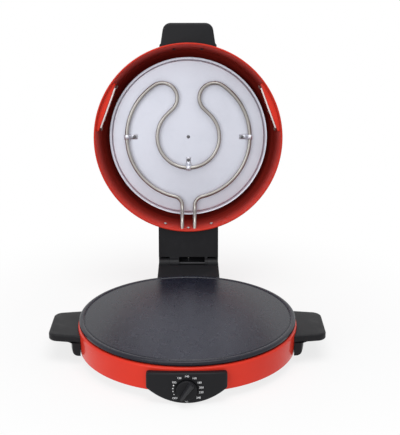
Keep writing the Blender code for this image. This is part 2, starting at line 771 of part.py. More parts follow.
def make_centre_stud():
    top = PLATE_BOTTOM - BOSS_HEIGHT + STUD_GRIP
    nut_top = COVER_BOTTOM - GAP
    nut_bottom = nut_top - NUT_HEIGHT
    ends = [((0, 0, nut_bottom - STUD_TAIL), (0, 0, top), STUD_RADIUS)]
    rods("centre_stud", ends, BASE, "zinc_steel", 12)
    nut = rods("centre_nut", [((0, 0, nut_bottom), (0, 0, nut_top), NUT_RADIUS)], BASE, "zinc_steel", 6)
    bore = [((0, 0, nut_bottom - OVERRUN), (0, 0, nut_top + OVERRUN), STUD_RADIUS + GAP)]
    boolean(nut, rods("centre_nut_bore", bore, BASE, steps=12))


# Handles


def make_handle(name, wall_radius, frame, place):
    """A trapezoid grip on a leg against a round wall. Drawn pointing to +X, with the grip's flat on top."""
    inner = wall_radius - GRIP_ROOT_HALF_WIDTH**2 / wall_radius  # further in than the wall at the leg's ends
    leg = wall_radius + LEG_THICKNESS
    reach = wall_radius + GRIP_REACH
    side = rounded(
        [
            (inner, 0, 0),
            (reach, 0, GRIP_EDGE),
            (reach, -GRIP_THICKNESS, GRIP_EDGE),
            (leg, -GRIP_THICKNESS, HANDLE_FILLET),
            (leg, -LEG_DROP, LEG_CORNER),
            (inner, -LEG_DROP, 0),
        ]
    )
    plan = rounded(
        [
            (inner, -GRIP_ROOT_HALF_WIDTH, 0),
            (wall_radius, -GRIP_ROOT_HALF_WIDTH, 0),
            (reach, -GRIP_TIP_HALF_WIDTH, GRIP_CORNER),
            (reach, GRIP_TIP_HALF_WIDTH, GRIP_CORNER),
            (wall_radius, GRIP_ROOT_HALF_WIDTH, 0),
            (inner, GRIP_ROOT_HALF_WIDTH, 0),
        ]
    )
    width = 2 * (GRIP_ROOT_HALF_WIDTH + OVERRUN)
    handle = prism(name, side, width, frame, "black_plastic", FRONT_VIEW)
    cutter = prism(name + "_plan", plan, 2 * (LEG_DROP + OVERRUN), frame)
    wall_ends = ((0, 0, -LEG_DROP - OVERRUN), (0, 0, OVERRUN), wall_radius + GAP)
    wall = rods(name + "_wall", [wall_ends], frame, steps=PANEL_STEPS)
    for obj in (handle, cutter, wall):
        obj.matrix_local = place
    boolean(handle, cutter, "INTERSECT")
    boolean(handle, wall)
    return handle


def make_side_handles():
    """The two handles, their screws, and the holes that the screws need in the shell."""
    grip_top = BODY_TOP - SIDE_GRIP_BELOW_LIP
    height = grip_top - HANDLE_SCREW_DROP
    all_holes = []
    for side, turn in (("right", 0), ("left", math.pi)):
        place = Matrix.Translation((0, 0, grip_top)) @ Matrix.Rotation(turn, 4, "Z")
        handle = make_handle(side + "_handle", BODY_RADIUS, BASE, place)
        names = [f"{side}_handle_screw_{index}" for index in (1, 2)]
        angles = [turn - HANDLE_SCREW_SPREAD, turn + HANDLE_SCREW_SPREAD]
        wall_radius = body_radius_at(height)
        holes = radial_screws(names, angles, height, wall_radius, BODY_SHEET, BASE, HANDLE_SCREW_BITE)
        boolean(handle, rods(side + "_handle_holes", holes, BASE))
        all_holes += holes
    return all_holes


# Control panel, knob and thermostat


def panel_outline(inset):
    """The panel's front view, drawn in by an even amount, its top edge slightly bowed, its bottom edge more."""
    top = BODY_TOP - PANEL_BELOW_LIP - inset
    side = PANEL_HALF_WIDTH - inset
    sag = PANEL_SIDE_END - PANEL_LOWEST
    bow = (PANEL_HALF_WIDTH**2 + sag**2) / (2 * sag) - inset
    centre = PANEL_LOWEST + inset + bow
    start = math.asin(side / bow)
    run = PANEL_HALF_WIDTH - PANEL_CORNER
    crown = (run**2 + PANEL_TOP_BOW**2) / (2 * PANEL_TOP_BOW) - inset
    shoulder = top - crown + math.sqrt(crown**2 - (side - PANEL_CORNER) ** 2)
    turn = math.asin((side - PANEL_CORNER) / crown)
    crowned = arc((0, top - crown), crown, math.pi / 2, math.pi / 2 - turn, 4)[1:-1]
    corner = arc((side - PANEL_CORNER, shoulder - PANEL_CORNER), PANEL_CORNER, math.pi / 2, 0, CORNER_STEPS)
    bowed = arc((0, centre), bow, start - math.pi / 2, -math.pi / 2, 8)[:-1]
    half = crowned + corner + bowed
    return [(0, top)] + half + [(0, centre - bow)] + [(-x, y) for x, y in reversed(half)]


def panel_screw_places():
    return [(x, KNOB_HEIGHT) for x in (-PANEL_SCREW_SPREAD, PANEL_SCREW_SPREAD)]


def make_control_panel():
    """A hollow moulding that follows the base's curve, with a bored boss behind the dial."""
    depth = 2 * PANEL_FACE_RADIUS
    middle = -PANEL_FACE_RADIUS
    behind = Matrix.Translation((0, middle, 0))
    panel = prism("control_panel", panel_outline(0), depth, BASE, "black_plastic", behind @ FRONT_VIEW)
    low, high = -OVERRUN, BODY_TOP + OVERRUN
    face = rods("panel_face", [((0, 0, low), (0, 0, high), PANEL_FACE_RADIUS)], BASE, steps=PANEL_STEPS)
    boolean(panel, face, "INTERSECT")
    back = [((0, 0, low - OVERRUN), (0, 0, high + OVERRUN), BODY_RADIUS + GAP)]
    boolean(panel, rods("panel_back", back, BASE, steps=PANEL_STEPS))
    hollow = prism("panel_hollow", panel_outline(PANEL_WALL), depth, BASE, view=behind @ FRONT_VIEW)
    inside_ends = ((0, 0, low - OVERRUN), (0, 0, high + OVERRUN), PANEL_FACE_RADIUS - PANEL_WALL)
    inside = rods("panel_inside", [inside_ends], BASE, steps=PANEL_STEPS)
    boolean(hollow, inside, "INTERSECT")
    boss_ends = ((0, -BODY_RADIUS, KNOB_HEIGHT), (0, middle - OVERRUN, KNOB_HEIGHT), DIAL_RECESS_RADIUS)
    boolean(hollow, rods("panel_boss", [boss_ends], BASE, steps=24))
    boolean(panel, hollow)
    deep = -BODY_RADIUS + OVERRUN
    front = middle - OVERRUN
    recess = [((0, DIAL_FLOOR_Y, KNOB_HEIGHT), (0, front, KNOB_HEIGHT), DIAL_RECESS_RADIUS)]
    boolean(panel, rods("panel_recess", recess, BASE, steps=32))
    holes = [((0, deep, KNOB_HEIGHT), (0, front, KNOB_HEIGHT), BUSH_RADIUS + GAP)]
    holes += [((x, deep, z), (x, front, z), SCREW_RADIUS + GAP) for x, z in panel_screw_places()]
    boolean(panel, rods("panel_holes", holes, BASE))
    sinks = [
        ((x, DIAL_FLOOR_Y + SCREW_HEAD_HEIGHT + GAP, z), (x, front, z), PANEL_SCREW_HEAD_RADIUS + GAP)
        for x, z in panel_screw_places()
    ]
    boolean(panel, rods("panel_screw_sinks", sinks, BASE))


def thermostat_front():
    """The Y of the thermostat's face, which lies against the inside of the shell."""
    inside = flat_radius(body_radius_at(KNOB_HEIGHT) - BODY_SHEET)
    half = THERMOSTAT_WIDTH / 2
    return THERMOSTAT_STANDOFF - math.sqrt(inside**2 - half**2)


def make_thermostat():
    """The body, its bush in the wall, its two screws, and the holes that they need in the shell."""
    face = thermostat_front()
    half = Vector((THERMOSTAT_WIDTH / 2, 0, THERMOSTAT_HEIGHT / 2))
    centre = Vector((0, 0, KNOB_HEIGHT))
    low = centre - half + Vector((0, face, 0))
    high = centre + half + Vector((0, face + THERMOSTAT_DEPTH, 0))
    body = box("thermostat_body", low, high, BASE, "white_ceramic")
    bush_front = DIAL_FLOOR_Y + PANEL_WALL
    bush = [((0, face + OVERRUN, KNOB_HEIGHT), (0, bush_front, KNOB_HEIGHT), BUSH_RADIUS)]
    boolean(body, rods("thermostat_bush", bush, BASE), "UNION")
    seat = DIAL_FLOOR_Y + SCREW_HEAD_HEIGHT
    end = face + SCREW_BITE
    bore_start = (0, face + SHAFT_SEAT_DEPTH, KNOB_HEIGHT)
    bore_end = (0, bush_front - OVERRUN, KNOB_HEIGHT)
    bores = [(bore_start, bore_end, SHAFT_RADIUS + GAP)]
    shell_holes = []
    for index, (x, z) in enumerate(panel_screw_places(), 1):
        screw(f"panel_screw_{index}", (x, seat, z), (0, 1, 0), end - seat, BASE, PANEL_SCREW_HEAD_RADIUS)
        bores.append(((x, face - OVERRUN, z), (x, end + GAP, z), SCREW_RADIUS + GAP))
        shell_holes.append(((x, -BODY_RADIUS - OVERRUN, z), (x, face + OVERRUN, z), SCREW_RADIUS + GAP))
    boolean(body, rods("thermostat_bores", bores, BASE))
    wall_hole = ((0, -BODY_RADIUS - OVERRUN, KNOB_HEIGHT), (0, face + OVERRUN, KNOB_HEIGHT), BUSH_RADIUS + GAP)
    return shell_holes + [wall_hole]


def make_knob():
    """A disc with a raised ridge that points to OFF. Drawn facing +Z, pointing to +Y, then turned."""
    turn = Matrix.Rotation(OFF_ANGLE, 4, "Z")
    profile = [
        (0, KNOB_DISC_THICKNESS),
        (KNOB_RADIUS - KNOB_CHAMFER, KNOB_DISC_THICKNESS),
        (KNOB_RADIUS, KNOB_DISC_THICKNESS - KNOB_CHAMFER),
        (KNOB_RADIUS, 0),
        (0, 0),
    ]
    knob = turned("control_knob", profile, KNOB, "black_plastic", 32, place=turn)
    crest = KNOB_RIDGE_CREST_WIDTH / 2
    foot = KNOB_RIDGE_WIDTH / 2
    section = [
        (foot, KNOB_CHAMFER),
        (foot, KNOB_DISC_THICKNESS),
        (crest, KNOB_DEPTH - KNOB_CHAMFER),
        (crest - KNOB_CHAMFER, KNOB_DEPTH),
    ]
    ridge = prism("knob_ridge", mirrored(section), 2 * KNOB_RADIUS + OVERRUN, KNOB, view=FRONT_VIEW)
    ends = ((0, 0, -OVERRUN), (0, 0, KNOB_DEPTH + OVERRUN), KNOB_RADIUS - KNOB_CHAMFER)
    ridge_ends = rods("knob_ridge_ends", [ends], KNOB, steps=32)
    boolean(ridge, ridge_ends, "INTERSECT")
    bore_ends = ((0, 0, -OVERRUN), (0, 0, KNOB_BORE_DEPTH), SHAFT_RADIUS + GAP)
    bore = rods("knob_bore", [bore_ends], KNOB)
    for obj in (ridge, ridge_ends, bore):
        obj.matrix_local = turn
    boolean(knob, ridge, "UNION")
    boolean(knob, bore)


def make_thermostat_shaft():
    """The shaft that turns with the knob, from the thermostat's bush to the knob's bore, on the knob's axis."""
    back = KNOB_BACK_Y - thermostat_front() - SHAFT_SEAT_DEPTH + GAP
    ends = [((0, 0, back), (0, 0, KNOB_BORE_DEPTH - GAP), SHAFT_RADIUS)]
    shaft = rods("thermostat_shaft", ends, KNOB, "zinc_steel", 12)
    flat_at = SHAFT_RADIUS - SHAFT_FLAT_DEPTH
    low = (-SHAFT_RADIUS - OVERRUN, flat_at, 0)
    high = (SHAFT_RADIUS + OVERRUN, SHAFT_RADIUS + OVERRUN, KNOB_BORE_DEPTH + OVERRUN)
    boolean(shaft, box("shaft_flat", low, high, KNOB, None))


# Wiring inside the base


def smooth_path(corners, spacing):
    """Points at about even spacing on a curve through a few places."""
    places = [Vector(corner) for corner in corners]
    places = [2 * places[0] - places[1]] + places + [2 * places[-1] - places[-2]]
    path = []
    for one, two, three, four in zip(places, places[1:], places[2:], places[3:]):
        steps = max(1, round((three - two).length / spacing))
        for step in range(steps):
            t = step / steps
            path.append(
                (
                    2 * two
                    + (three - one) * t
                    + (2 * one - 5 * two + 4 * three - four) * t**2
                    + (3 * two - one - 3 * three + four) * t**3
                )
                / 2
            )
    return path + [places[-2]]


def make_terminal_block():
    half = TERMINAL_BLOCK_SIZE / 2
    centre = Vector((0, TERMINAL_BLOCK_Y, COVER_TOP + GAP + half.z))
    box("terminal_block", centre - half, centre + half, BASE, "white_ceramic")


def make_wiring():
    """Wires to the thermostat and the lower element, the lead to the hinge, and the sensing bulb."""
    spacing = 8 * LEAD_RADIUS
    block_middle = COVER_TOP + TERMINAL_BLOCK_SIZE.z / 2
    block_front = TERMINAL_BLOCK_Y - TERMINAL_BLOCK_SIZE.y / 2 - GAP
    block_rear = TERMINAL_BLOCK_Y + TERMINAL_BLOCK_SIZE.y / 2 + GAP
    quarter = TERMINAL_BLOCK_SIZE.x / 4
    lying = COVER_TOP + GAP + 2 * WIRE_RADIUS + FOOT_BARB_HEIGHT
    back = thermostat_front() + THERMOSTAT_DEPTH + GAP
    wide = VENT_RING_RADIUS / 2
    straight = 2 * LEAD_RADIUS
    live = [
        (-quarter, block_front, block_middle),
        (-quarter, block_front - straight, block_middle),
        (-quarter - 2 * spacing, block_front - 3 * spacing, lying),
        (-wide, 0, lying),
        (-wide, back / 2, lying),
        (-THERMOSTAT_WIDTH / 4, back + spacing, KNOB_HEIGHT),
        (-THERMOSTAT_WIDTH / 4, back, KNOB_HEIGHT),
    ]
    tube("live_wire", smooth_path(live, spacing), WIRE_RADIUS, BASE, "red_wire", 1)
    left = lower_terminals()[0]
    low = LOWER_RING_Z - LOWER_TERMINAL_DROP - GAP
    neutral = [
        (0, block_front, block_middle),
        (0, block_front - straight, block_middle),
        (left.x, left.y, low - straight),
        (left.x, left.y, low),
    ]
    tube("neutral_wire", smooth_path(neutral, spacing / 2), WIRE_RADIUS, BASE, "red_wire", 1)
    lead = [
        (quarter, block_rear, block_middle),
        (quarter, block_rear + straight, block_middle),
        (0, BODY_RADIUS, WIRE_HOLE_HEIGHT),
        (0, BODY_RADIUS + BRACKET_FRONT_WALL + spacing, WIRE_HOLE_HEIGHT),
        (0, HINGE_Y, deck_height() - BRACKET_ROOF - spacing / 2),
        (0, HINGE_Y, deck_height() - BRACKET_ROOF / 2),
        (0, HINGE_Y, deck_height() + GAP),
    ]
    tube("hinge_lead", smooth_path(lead, spacing), LEAD_RADIUS, BASE, "pale_sleeve")
    side = THERMOSTAT_WIDTH / 2 + GAP
    under_plate = PLATE_BOTTOM - GAP - BULB_RADIUS
    first = math.radians(-64)
    outside = (SHIELD_RADIUS + BODY_RADIUS) / 2
    rising = [
        (side, thermostat_front() + THERMOSTAT_DEPTH / 2, KNOB_HEIGHT),
        (side + spacing / 2, thermostat_front() + THERMOSTAT_DEPTH / 2, KNOB_HEIGHT),
        around(outside, first - BULB_ARC / 3, (KNOB_HEIGHT + under_plate) / 2),
        around(outside - 2 * BULB_RADIUS, first - BULB_ARC / 8, under_plate),
    ]
    path = smooth_path(rising, spacing)
    thin = CAPILLARY_RADIUS / BULB_RADIUS
    shares = [thin] * len(path)
    steps = 8
    for step in range(steps + 1):
        path.append(around(BULB_RING_RADIUS, first + BULB_ARC * step / steps, under_plate))
        shares.append(thin if step in (0, steps) else 1)
    tube("capillary_bulb", path, BULB_RADIUS, BASE, "zinc_steel", 1, shares)


# Hinge bracket, pin and cap


def deck_height():
    return HINGE_Z - BRACKET_DECK_DROP


def swung(y, depth):
    """Where a point of the lid, given in the lid's frame, lies in the base's frame at rest, as (y, z)."""
    run, rise = y - HINGE_Y, depth - HINGE_DEPTH
    cosine, sine = math.cos(OPEN_ANGLE), math.sin(OPEN_ANGLE)
    return HINGE_Y + run * cosine + rise * sine, HINGE_Z - run * sine + rise * cosine


def arm_back():
    """The two points of the arm's back that meet the stop wall, in the lid's frame."""
    crest = HINGE_DEPTH + ARM_TAIL_RISE + ARM_TAIL_THICKNESS
    return (HINGE_Y, crest), (HINGE_Y - ARM_TAIL_RUN, crest)


def stop_wall_front():
    """The Y of the stop wall's face, which the open arm leans on."""
    (low_y, low_z), (high_y, high_z) = (swung(*point) for point in arm_back())
    share = (HINGE_Z + STOP_WALL_RISE - low_z) / (high_z - low_z)
    return low_y + (high_y - low_y) * share + GAP


def arm_knuckles():
    """The (low x, high x) of the arm's two knuckles. The wide one, on the left, carries the lead."""
    edge = OUTER_KNUCKLE_INSIDE - KNUCKLE_SIDE_CLEARANCE
    return [(-edge, WIDE_KNUCKLE_WIDTH - edge), (edge - NARROW_KNUCKLE_WIDTH, edge)]


def make_hinge_bracket():
    """The bracket, its screws and the cord's bush, with the holes that they need in the shell."""
    stop = stop_wall_front()
    rear = stop + STOP_WALL_THICKNESS
    front = BODY_RADIUS - BRACKET_FOOT_HALF_WIDTH**2 / BODY_RADIUS
    lip = HINGE_Y - BRACKET_LIP_FRONT
    deck = deck_height()
    lip_top = deck + BRACKET_LIP_RISE
    side = rounded(
        [
            (front, BRACKET_BOTTOM, 0),
            (rear, BRACKET_BOTTOM, BRACKET_HEEL),
            (rear, HINGE_Z + STOP_WALL_RISE, STOP_WALL_THICKNESS / 3),
            (stop, HINGE_Z + STOP_WALL_RISE, 0),
            (stop, deck, 0),
            (lip + 2 * BRACKET_LIP_WIDTH, deck, 0),
            (lip + BRACKET_LIP_WIDTH, lip_top, 0),
            (lip, lip_top, 0),
            (BODY_RADIUS, BODY_TOP - BRACKET_FRONT_DROP, 0),
            (front, BODY_TOP - BRACKET_FRONT_DROP, 0),
        ]
    )
    top = HINGE_Z + KNUCKLE_RADIUS + OVERRUN
    front_view = [
        (BRACKET_FOOT_HALF_WIDTH, BRACKET_BOTTOM - OVERRUN),
        (BRACKET_FOOT_HALF_WIDTH, BRACKET_FLARE_FOOT),
        (BRACKET_TOP_HALF_WIDTH, HINGE_Z - BRACKET_FLARE_TOP_BELOW_AXIS),
        (BRACKET_TOP_HALF_WIDTH, top),
    ]
    width = 2 * BRACKET_FOOT_HALF_WIDTH
    bracket = prism("hinge_bracket", side, width + OVERRUN, BASE, "black_plastic", SIDE_VIEW)
    flare = prism("bracket_flare", mirrored(front_view), 3 * rear, BASE, view=FRONT_VIEW)
    boolean(bracket, flare, "INTERSECT")
    low, high = (0, 0, BRACKET_BOTTOM - OVERRUN), (0, 0, top)
    boolean(bracket, rods("bracket_wall", [(low, high, BODY_RADIUS + GAP)], BASE, steps=PANEL_STEPS))

    middle = (OUTER_KNUCKLE_INSIDE + OUTER_KNUCKLE_OUTSIDE) / 2
    thickness = OUTER_KNUCKLE_OUTSIDE - OUTER_KNUCKLE_INSIDE
    lug = arc((HINGE_Y, HINGE_Z), KNUCKLE_RADIUS, 0, math.pi, 8)
    lug += [(HINGE_Y - KNUCKLE_RADIUS, deck - OVERRUN), (HINGE_Y + KNUCKLE_RADIUS, deck - OVERRUN)]
    for label, x in (("left", -middle), ("right", middle)):
        view = Matrix.Translation((x, 0, 0)) @ SIDE_VIEW
        boolean(bracket, prism(f"bracket_knuckle_{label}", lug, thickness, BASE, view=view), "UNION")

    inside = BODY_RADIUS + BRACKET_FRONT_WALL
    half = BRACKET_TOP_HALF_WIDTH - BRACKET_WALL
    cavity_low = (-half, inside, BRACKET_BOTTOM - OVERRUN)
    cavity_high = (half, rear - 2 * BRACKET_WALL, deck - BRACKET_ROOF)
    boolean(bracket, box("bracket_cavity", cavity_low, cavity_high, BASE, None))
    cuts = [
        (
            (low_x - KNUCKLE_SIDE_CLEARANCE, HINGE_Y, HINGE_Z),
            (high_x + KNUCKLE_SIDE_CLEARANCE, HINGE_Y, HINGE_Z),
            KNUCKLE_RADIUS + 2 * KNUCKLE_SIDE_CLEARANCE,
        )
        for low_x, high_x in arm_knuckles()
    ]
    boolean(bracket, rods("bracket_cradles", cuts, BASE, steps=24))
    pin_side = BRACKET_FOOT_HALF_WIDTH + OVERRUN
    bores = [((-pin_side, HINGE_Y, HINGE_Z), (pin_side, HINGE_Y, HINGE_Z), PIN_RADIUS + GAP)]
    boolean(bracket, rods("bracket_pin_bore", bores, BASE, steps=12))
    sunk = OUTER_KNUCKLE_OUTSIDE - PIN_SINK
    sinks = [
        ((side * sunk, HINGE_Y, HINGE_Z), (side * pin_side, HINGE_Y, HINGE_Z), PIN_HEAD_RADIUS + GAP)
        for side in (-1, 1)
    ]
    boolean(bracket, rods("bracket_pin_sinks", sinks, BASE, steps=SMALL_STEPS))
    names = ["bracket_screw_1", "bracket_screw_2"]
    angles = [math.pi / 2 - BRACKET_SCREW_SPREAD, math.pi / 2 + BRACKET_SCREW_SPREAD]
    wall_radius = body_radius_at(BRACKET_SCREW_HEIGHT)
    holes = radial_screws(names, angles, BRACKET_SCREW_HEIGHT, wall_radius, BODY_SHEET, BASE)
    deep = BODY_RADIUS - 2 * OVERRUN
    wire_ends = ((0, deep, WIRE_HOLE_HEIGHT), (0, inside + OVERRUN, WIRE_HOLE_HEIGHT), WIRE_HOLE_RADIUS)
    lead_ends = (
        (0, HINGE_Y, deck - BRACKET_ROOF - OVERRUN),
        (0, HINGE_Y, deck + OVERRUN),
        LEAD_RADIUS + GAP,
    )
    cord_ends = (
        (CORD_HOLE_X, rear - 2 * BRACKET_WALL - OVERRUN, CORD_HOLE_HEIGHT),
        (CORD_HOLE_X, rear + OVERRUN, CORD_HOLE_HEIGHT),
        CORD_HOLE_RADIUS,
    )
    boolean(bracket, rods("bracket_holes", holes + [wire_ends, lead_ends, cord_ends], BASE))
    make_cord_bush(rear)
    return holes + [wire_ends]


def make_cord_bush(rear):
    """The bush that a mains cord comes in through, its flange on the bracket's rear face."""
    sleeve = CORD_HOLE_RADIUS - GAP
    depth = 2 * BRACKET_WALL
    profile = [
        (BUSH_BORE_RADIUS, BUSH_FLANGE_THICKNESS),
        (BUSH_FLANGE_RADIUS - BUSH_FLANGE_THICKNESS / 2, BUSH_FLANGE_THICKNESS),
        (BUSH_FLANGE_RADIUS, BUSH_FLANGE_THICKNESS / 2),
        (BUSH_FLANGE_RADIUS, 0),
        (sleeve, 0),
        (sleeve, -depth),
        (BUSH_BORE_RADIUS, -depth),
        (BUSH_BORE_RADIUS, BUSH_FLANGE_THICKNESS),
    ]
    seat = Matrix.Translation((CORD_HOLE_X, rear + GAP, CORD_HOLE_HEIGHT))
    place = seat @ Matrix.Rotation(-math.pi / 2, 4, "X")
    turned("cord_inlet_bush", profile, BASE, "black_plastic", SMALL_STEPS, place=place)


def make_hinge_pin():
    """A headed pin through all four knuckles, with a cap on its far end, both sunk in the outer knuckles."""
    side = OUTER_KNUCKLE_OUTSIDE - PIN_SINK + GAP
    end = side + PIN_TAIL
    profile = [
        (0, end),
        (PIN_RADIUS, end),
        (PIN_RADIUS, -side),
        (PIN_HEAD_RADIUS, -side),
        (PIN_HEAD_RADIUS, -side - PIN_HEAD_THICKNESS),
        (0, -side - PIN_HEAD_THICKNESS),
    ]
    place = Matrix.Translation((0, HINGE_Y, HINGE_Z)) @ Matrix.Rotation(math.pi / 2, 4, "Y")
    turned("hinge_pin", profile, BASE, "zinc_steel", SMALL_STEPS, place=place)
    bore = PIN_RADIUS + GAP
    cap = [
        (0, end + GAP + PIN_CAP_WALL),
        (PIN_CAP_RADIUS - PIN_CAP_WALL / 2, end + GAP + PIN_CAP_WALL),
        (PIN_CAP_RADIUS, end + GAP),
        (PIN_CAP_RADIUS, side),
        (bore, side),
        (bore, end + GAP),
        (0, end + GAP),
    ]
    turned("hinge_pin_cap", cap, BASE, "zinc_steel", SMALL_STEPS, place=place)


# Lid shell and windows


def pocket_places():
    """The two window pockets: a name, and the matrix that faces +X out through the window."""
    turns = (("right", -POCKET_ANGLE), ("left", math.pi + POCKET_ANGLE))
    return [(name, Matrix.Rotation(turn, 4, "Z")) for name, turn in turns]


def lid_profile():
    """The lid's outer face, from its middle down to its rim, which curls outwards."""
    curl = LID_BEAD_RADIUS - LID_SHEET
    centre = (LID_RIM_RADIUS - LID_BEAD_RADIUS, LID_BEAD_RADIUS)
    corner = arc((LID_TOP_RADIUS, LID_DEPTH - LID_CORNER), LID_CORNER, math.pi / 2, 0, 6)
    flare = arc(centre, curl, math.radians(-145), math.radians(65), 4)
    return [(0, LID_DEPTH)] + corner + [(LID_WALL_RADIUS, LID_FLARE_HEIGHT)] + flare


def make_lid_shell(holes):
    shell = turned("lid_shell", lid_profile(), LID, "red_paint", sheet=LID_SHEET)
    wall = LID_DEPTH - LID_CORNER
    inset = LID_SHEET / 2
    envelope_profile = [
        (0, wall),
        (lid_radius_at(wall) - inset, wall),
        (lid_radius_at(LID_FLARE_HEIGHT) - inset, LID_FLARE_HEIGHT),
        (0, LID_FLARE_HEIGHT),
    ]
    envelope = turned("lid_envelope", envelope_profile, LID, None)
    for name, place in pocket_places():
        inner, outer = POCKET_DISTANCE, LID_RIM_RADIUS + OVERRUN
        half = POCKET_HALF_LENGTH
        block = box(f"pocket_block_{name}", (inner, -half, POCKET_LOW), (outer, half, POCKET_HIGH), LID, None)
        block.matrix_local = place
        boolean(block, envelope, "INTERSECT")
        boolean(shell, block, "UNION")
    for name, place in pocket_places():
        inner = POCKET_DISTANCE + LID_SHEET
        end = POCKET_HALF_LENGTH - LID_SHEET
        low = (inner, -end, POCKET_LOW + LID_SHEET)
        high = (LID_RIM_RADIUS + OVERRUN, end, POCKET_HIGH - LID_SHEET)
        void = box(f"pocket_void_{name}", low, high, LID, None)
        void.matrix_local = place
        boolean(shell, void)
        middle = (POCKET_LOW + POCKET_HIGH) / 2
        corners = [
            (x, middle + y, SLOT_CORNER)
            for x, y in (
                (-SLOT_HALF_LENGTH, -SLOT_HEIGHT / 2),
                (SLOT_HALF_LENGTH, -SLOT_HEIGHT / 2),
                (SLOT_HALF_LENGTH, SLOT_HEIGHT / 2),
                (-SLOT_HALF_LENGTH, SLOT_HEIGHT / 2),
            )
        ]
        view = Matrix.Translation((POCKET_DISTANCE, 0, 0)) @ SIDE_VIEW
        slot = prism(f"window_slot_{name}", rounded(corners), 4 * LID_SHEET, LID, view=view)
        slot.matrix_local = place
        boolean(shell, slot)
    boolean(shell, rods("lid_shell_holes", holes, LID))


def make_windows():
    """A flat pane behind each pocket, held at its two ends by rivets. The holes go in the shell."""
    holes = []
    for side, place in pocket_places():
        outer = POCKET_DISTANCE - GAP
        inner = outer - PANE_THICKNESS
        low = (inner, -PANE_HALF_LENGTH, POCKET_LOW + PANE_MARGIN)
        high = (outer, PANE_HALF_LENGTH, POCKET_HIGH - PANE_MARGIN)
        pane = box(f"{side}_window_pane", low, high, LID, "window_glass")
        pane.matrix_local = place
        bevel(pane, PANE_CHAMFER, 1)
        along = PANE_HALF_LENGTH + RIVET_CLEARANCE + RIVET_RADIUS
        depth = (POCKET_LOW + POCKET_HIGH) / 2
        outside = POCKET_DISTANCE + LID_SHEET + GAP
        seat = inner - GAP
        tail = outside - seat
        profile = [
            (0, tail + RIVET_HEAD_HEIGHT),
            (RIVET_HEAD_RADIUS / 2, tail + RIVET_HEAD_HEIGHT),
            (RIVET_HEAD_RADIUS * 3 / 4, tail),
            (RIVET_RADIUS, tail),
            (RIVET_RADIUS, 0),
            (RIVET_HEAD_RADIUS, 0),
            (RIVET_HEAD_RADIUS / 2, -RIVET_HEAD_HEIGHT),
            (0, -RIVET_HEAD_HEIGHT),
        ]
        # The local Y of both pockets runs so that the first end is nearer the handle on the right
        front = -along if side == "right" else along
        ends = (("front", front), ("rear", -front))
        for end, y in ends:
            turn = Matrix.Translation((seat, y, depth)) @ Matrix.Rotation(math.pi / 2, 4, "Y")
            turned(f"{side}_window_rivet_{end}", profile, LID, "zinc_steel", SCREW_STEPS, place=place @ turn)
            start = place @ Vector((seat - OVERRUN, y, depth))
            finish = place @ Vector((outside + OVERRUN, y, depth))
            holes.append((start, finish, RIVET_RADIUS + GAP))
    return holes


# Reflector, upper element and what holds them


def make_reflector(screw_places):
    back = REFLECTOR_DEPTH + REFLECTOR_SHEET
    flange = REFLECTOR_RADIUS - REFLECTOR_FLANGE_WIDTH
    profile = [
        (0, back),
        (flange - REFLECTOR_STEP_WIDTH, back),
        (flange, back + REFLECTOR_STEP),
        (REFLECTOR_RADIUS - REFLECTOR_LIP / 2, back + REFLECTOR_STEP),
        (REFLECTOR_RADIUS, back + REFLECTOR_STEP - REFLECTOR_LIP),
    ]
    reflector = turned("reflector", profile, LID, "bare_aluminium", sheet=REFLECTOR_SHEET)
    holes = [
        ((x, y, REFLECTOR_DEPTH - OVERRUN), (x, y, back + OVERRUN), SCREW_RADIUS + GAP)
        for x, y in screw_places
    ]
    boolean(reflector, rods("reflector_holes", holes, LID, steps=SCREW_STEPS))


def make_reflector_post():
    """The post fixed inside the lid's top, and the screw that holds the reflector to it."""
    low = REFLECTOR_DEPTH + REFLECTOR_SHEET + GAP
    high = LID_DEPTH - LID_SHEET - GAP
    bore = SCREW_RADIUS + GAP
    bore_top = high - POST_END_WALL
    outside = [(0, high), (POST_RADIUS, high), (POST_RADIUS, low)]
    profile = outside + [(bore, low), (bore, bore_top), (0, bore_top)]
    turned("reflector_post", profile, LID, "zinc_steel", SMALL_STEPS)
    seat = REFLECTOR_DEPTH - GAP
    screw("reflector_screw", (0, 0, seat), (0, 0, 1), low - seat + SCREW_BITE, LID)


def element_half():
    """The right half of the upper element's centre line, from its ring's lowest point to its leg."""
    outer, ring, loop = ELEMENT_OUTER_RADIUS, ELEMENT_RING_RADIUS, ELEMENT_LOOP_RADIUS
    centre_x = ELEMENT_NECK_HALF_GAP + loop
    centre_y = math.sqrt((outer - loop) ** 2 - centre_x**2)
    between = math.hypot(centre_x, centre_y)
    toward = math.atan2(centre_y, centre_x)
    cross = math.acos((ring + loop) / between)  # the line that crosses over between ring and loop
    bend = ELEMENT_LEG_BEND_RADIUS
    bend_x = ELEMENT_LEG_HALF_SPACING + bend
    bend_y = -math.sqrt((outer + bend) ** 2 - bend_x**2)
    turn = math.atan2(bend_y, bend_x)
    pieces = [
        ((0, 0), ring, -math.pi / 2, toward - cross),
        ((centre_x, centre_y), loop, toward + math.pi - cross, toward),
        ((0, 0), outer, toward, turn),
        ((bend_x, bend_y), bend, turn + math.pi, math.pi),
    ]
    path = []
    for centre, radius, start, end in pieces:
        steps = max(3, round(abs(end - start) * radius / ELEMENT_POINT_SPACING))
        points = arc(centre, radius, start, end, steps)
        path += points[1:] if path and math.dist(points[0], path[-1]) < GAP else points
    return path


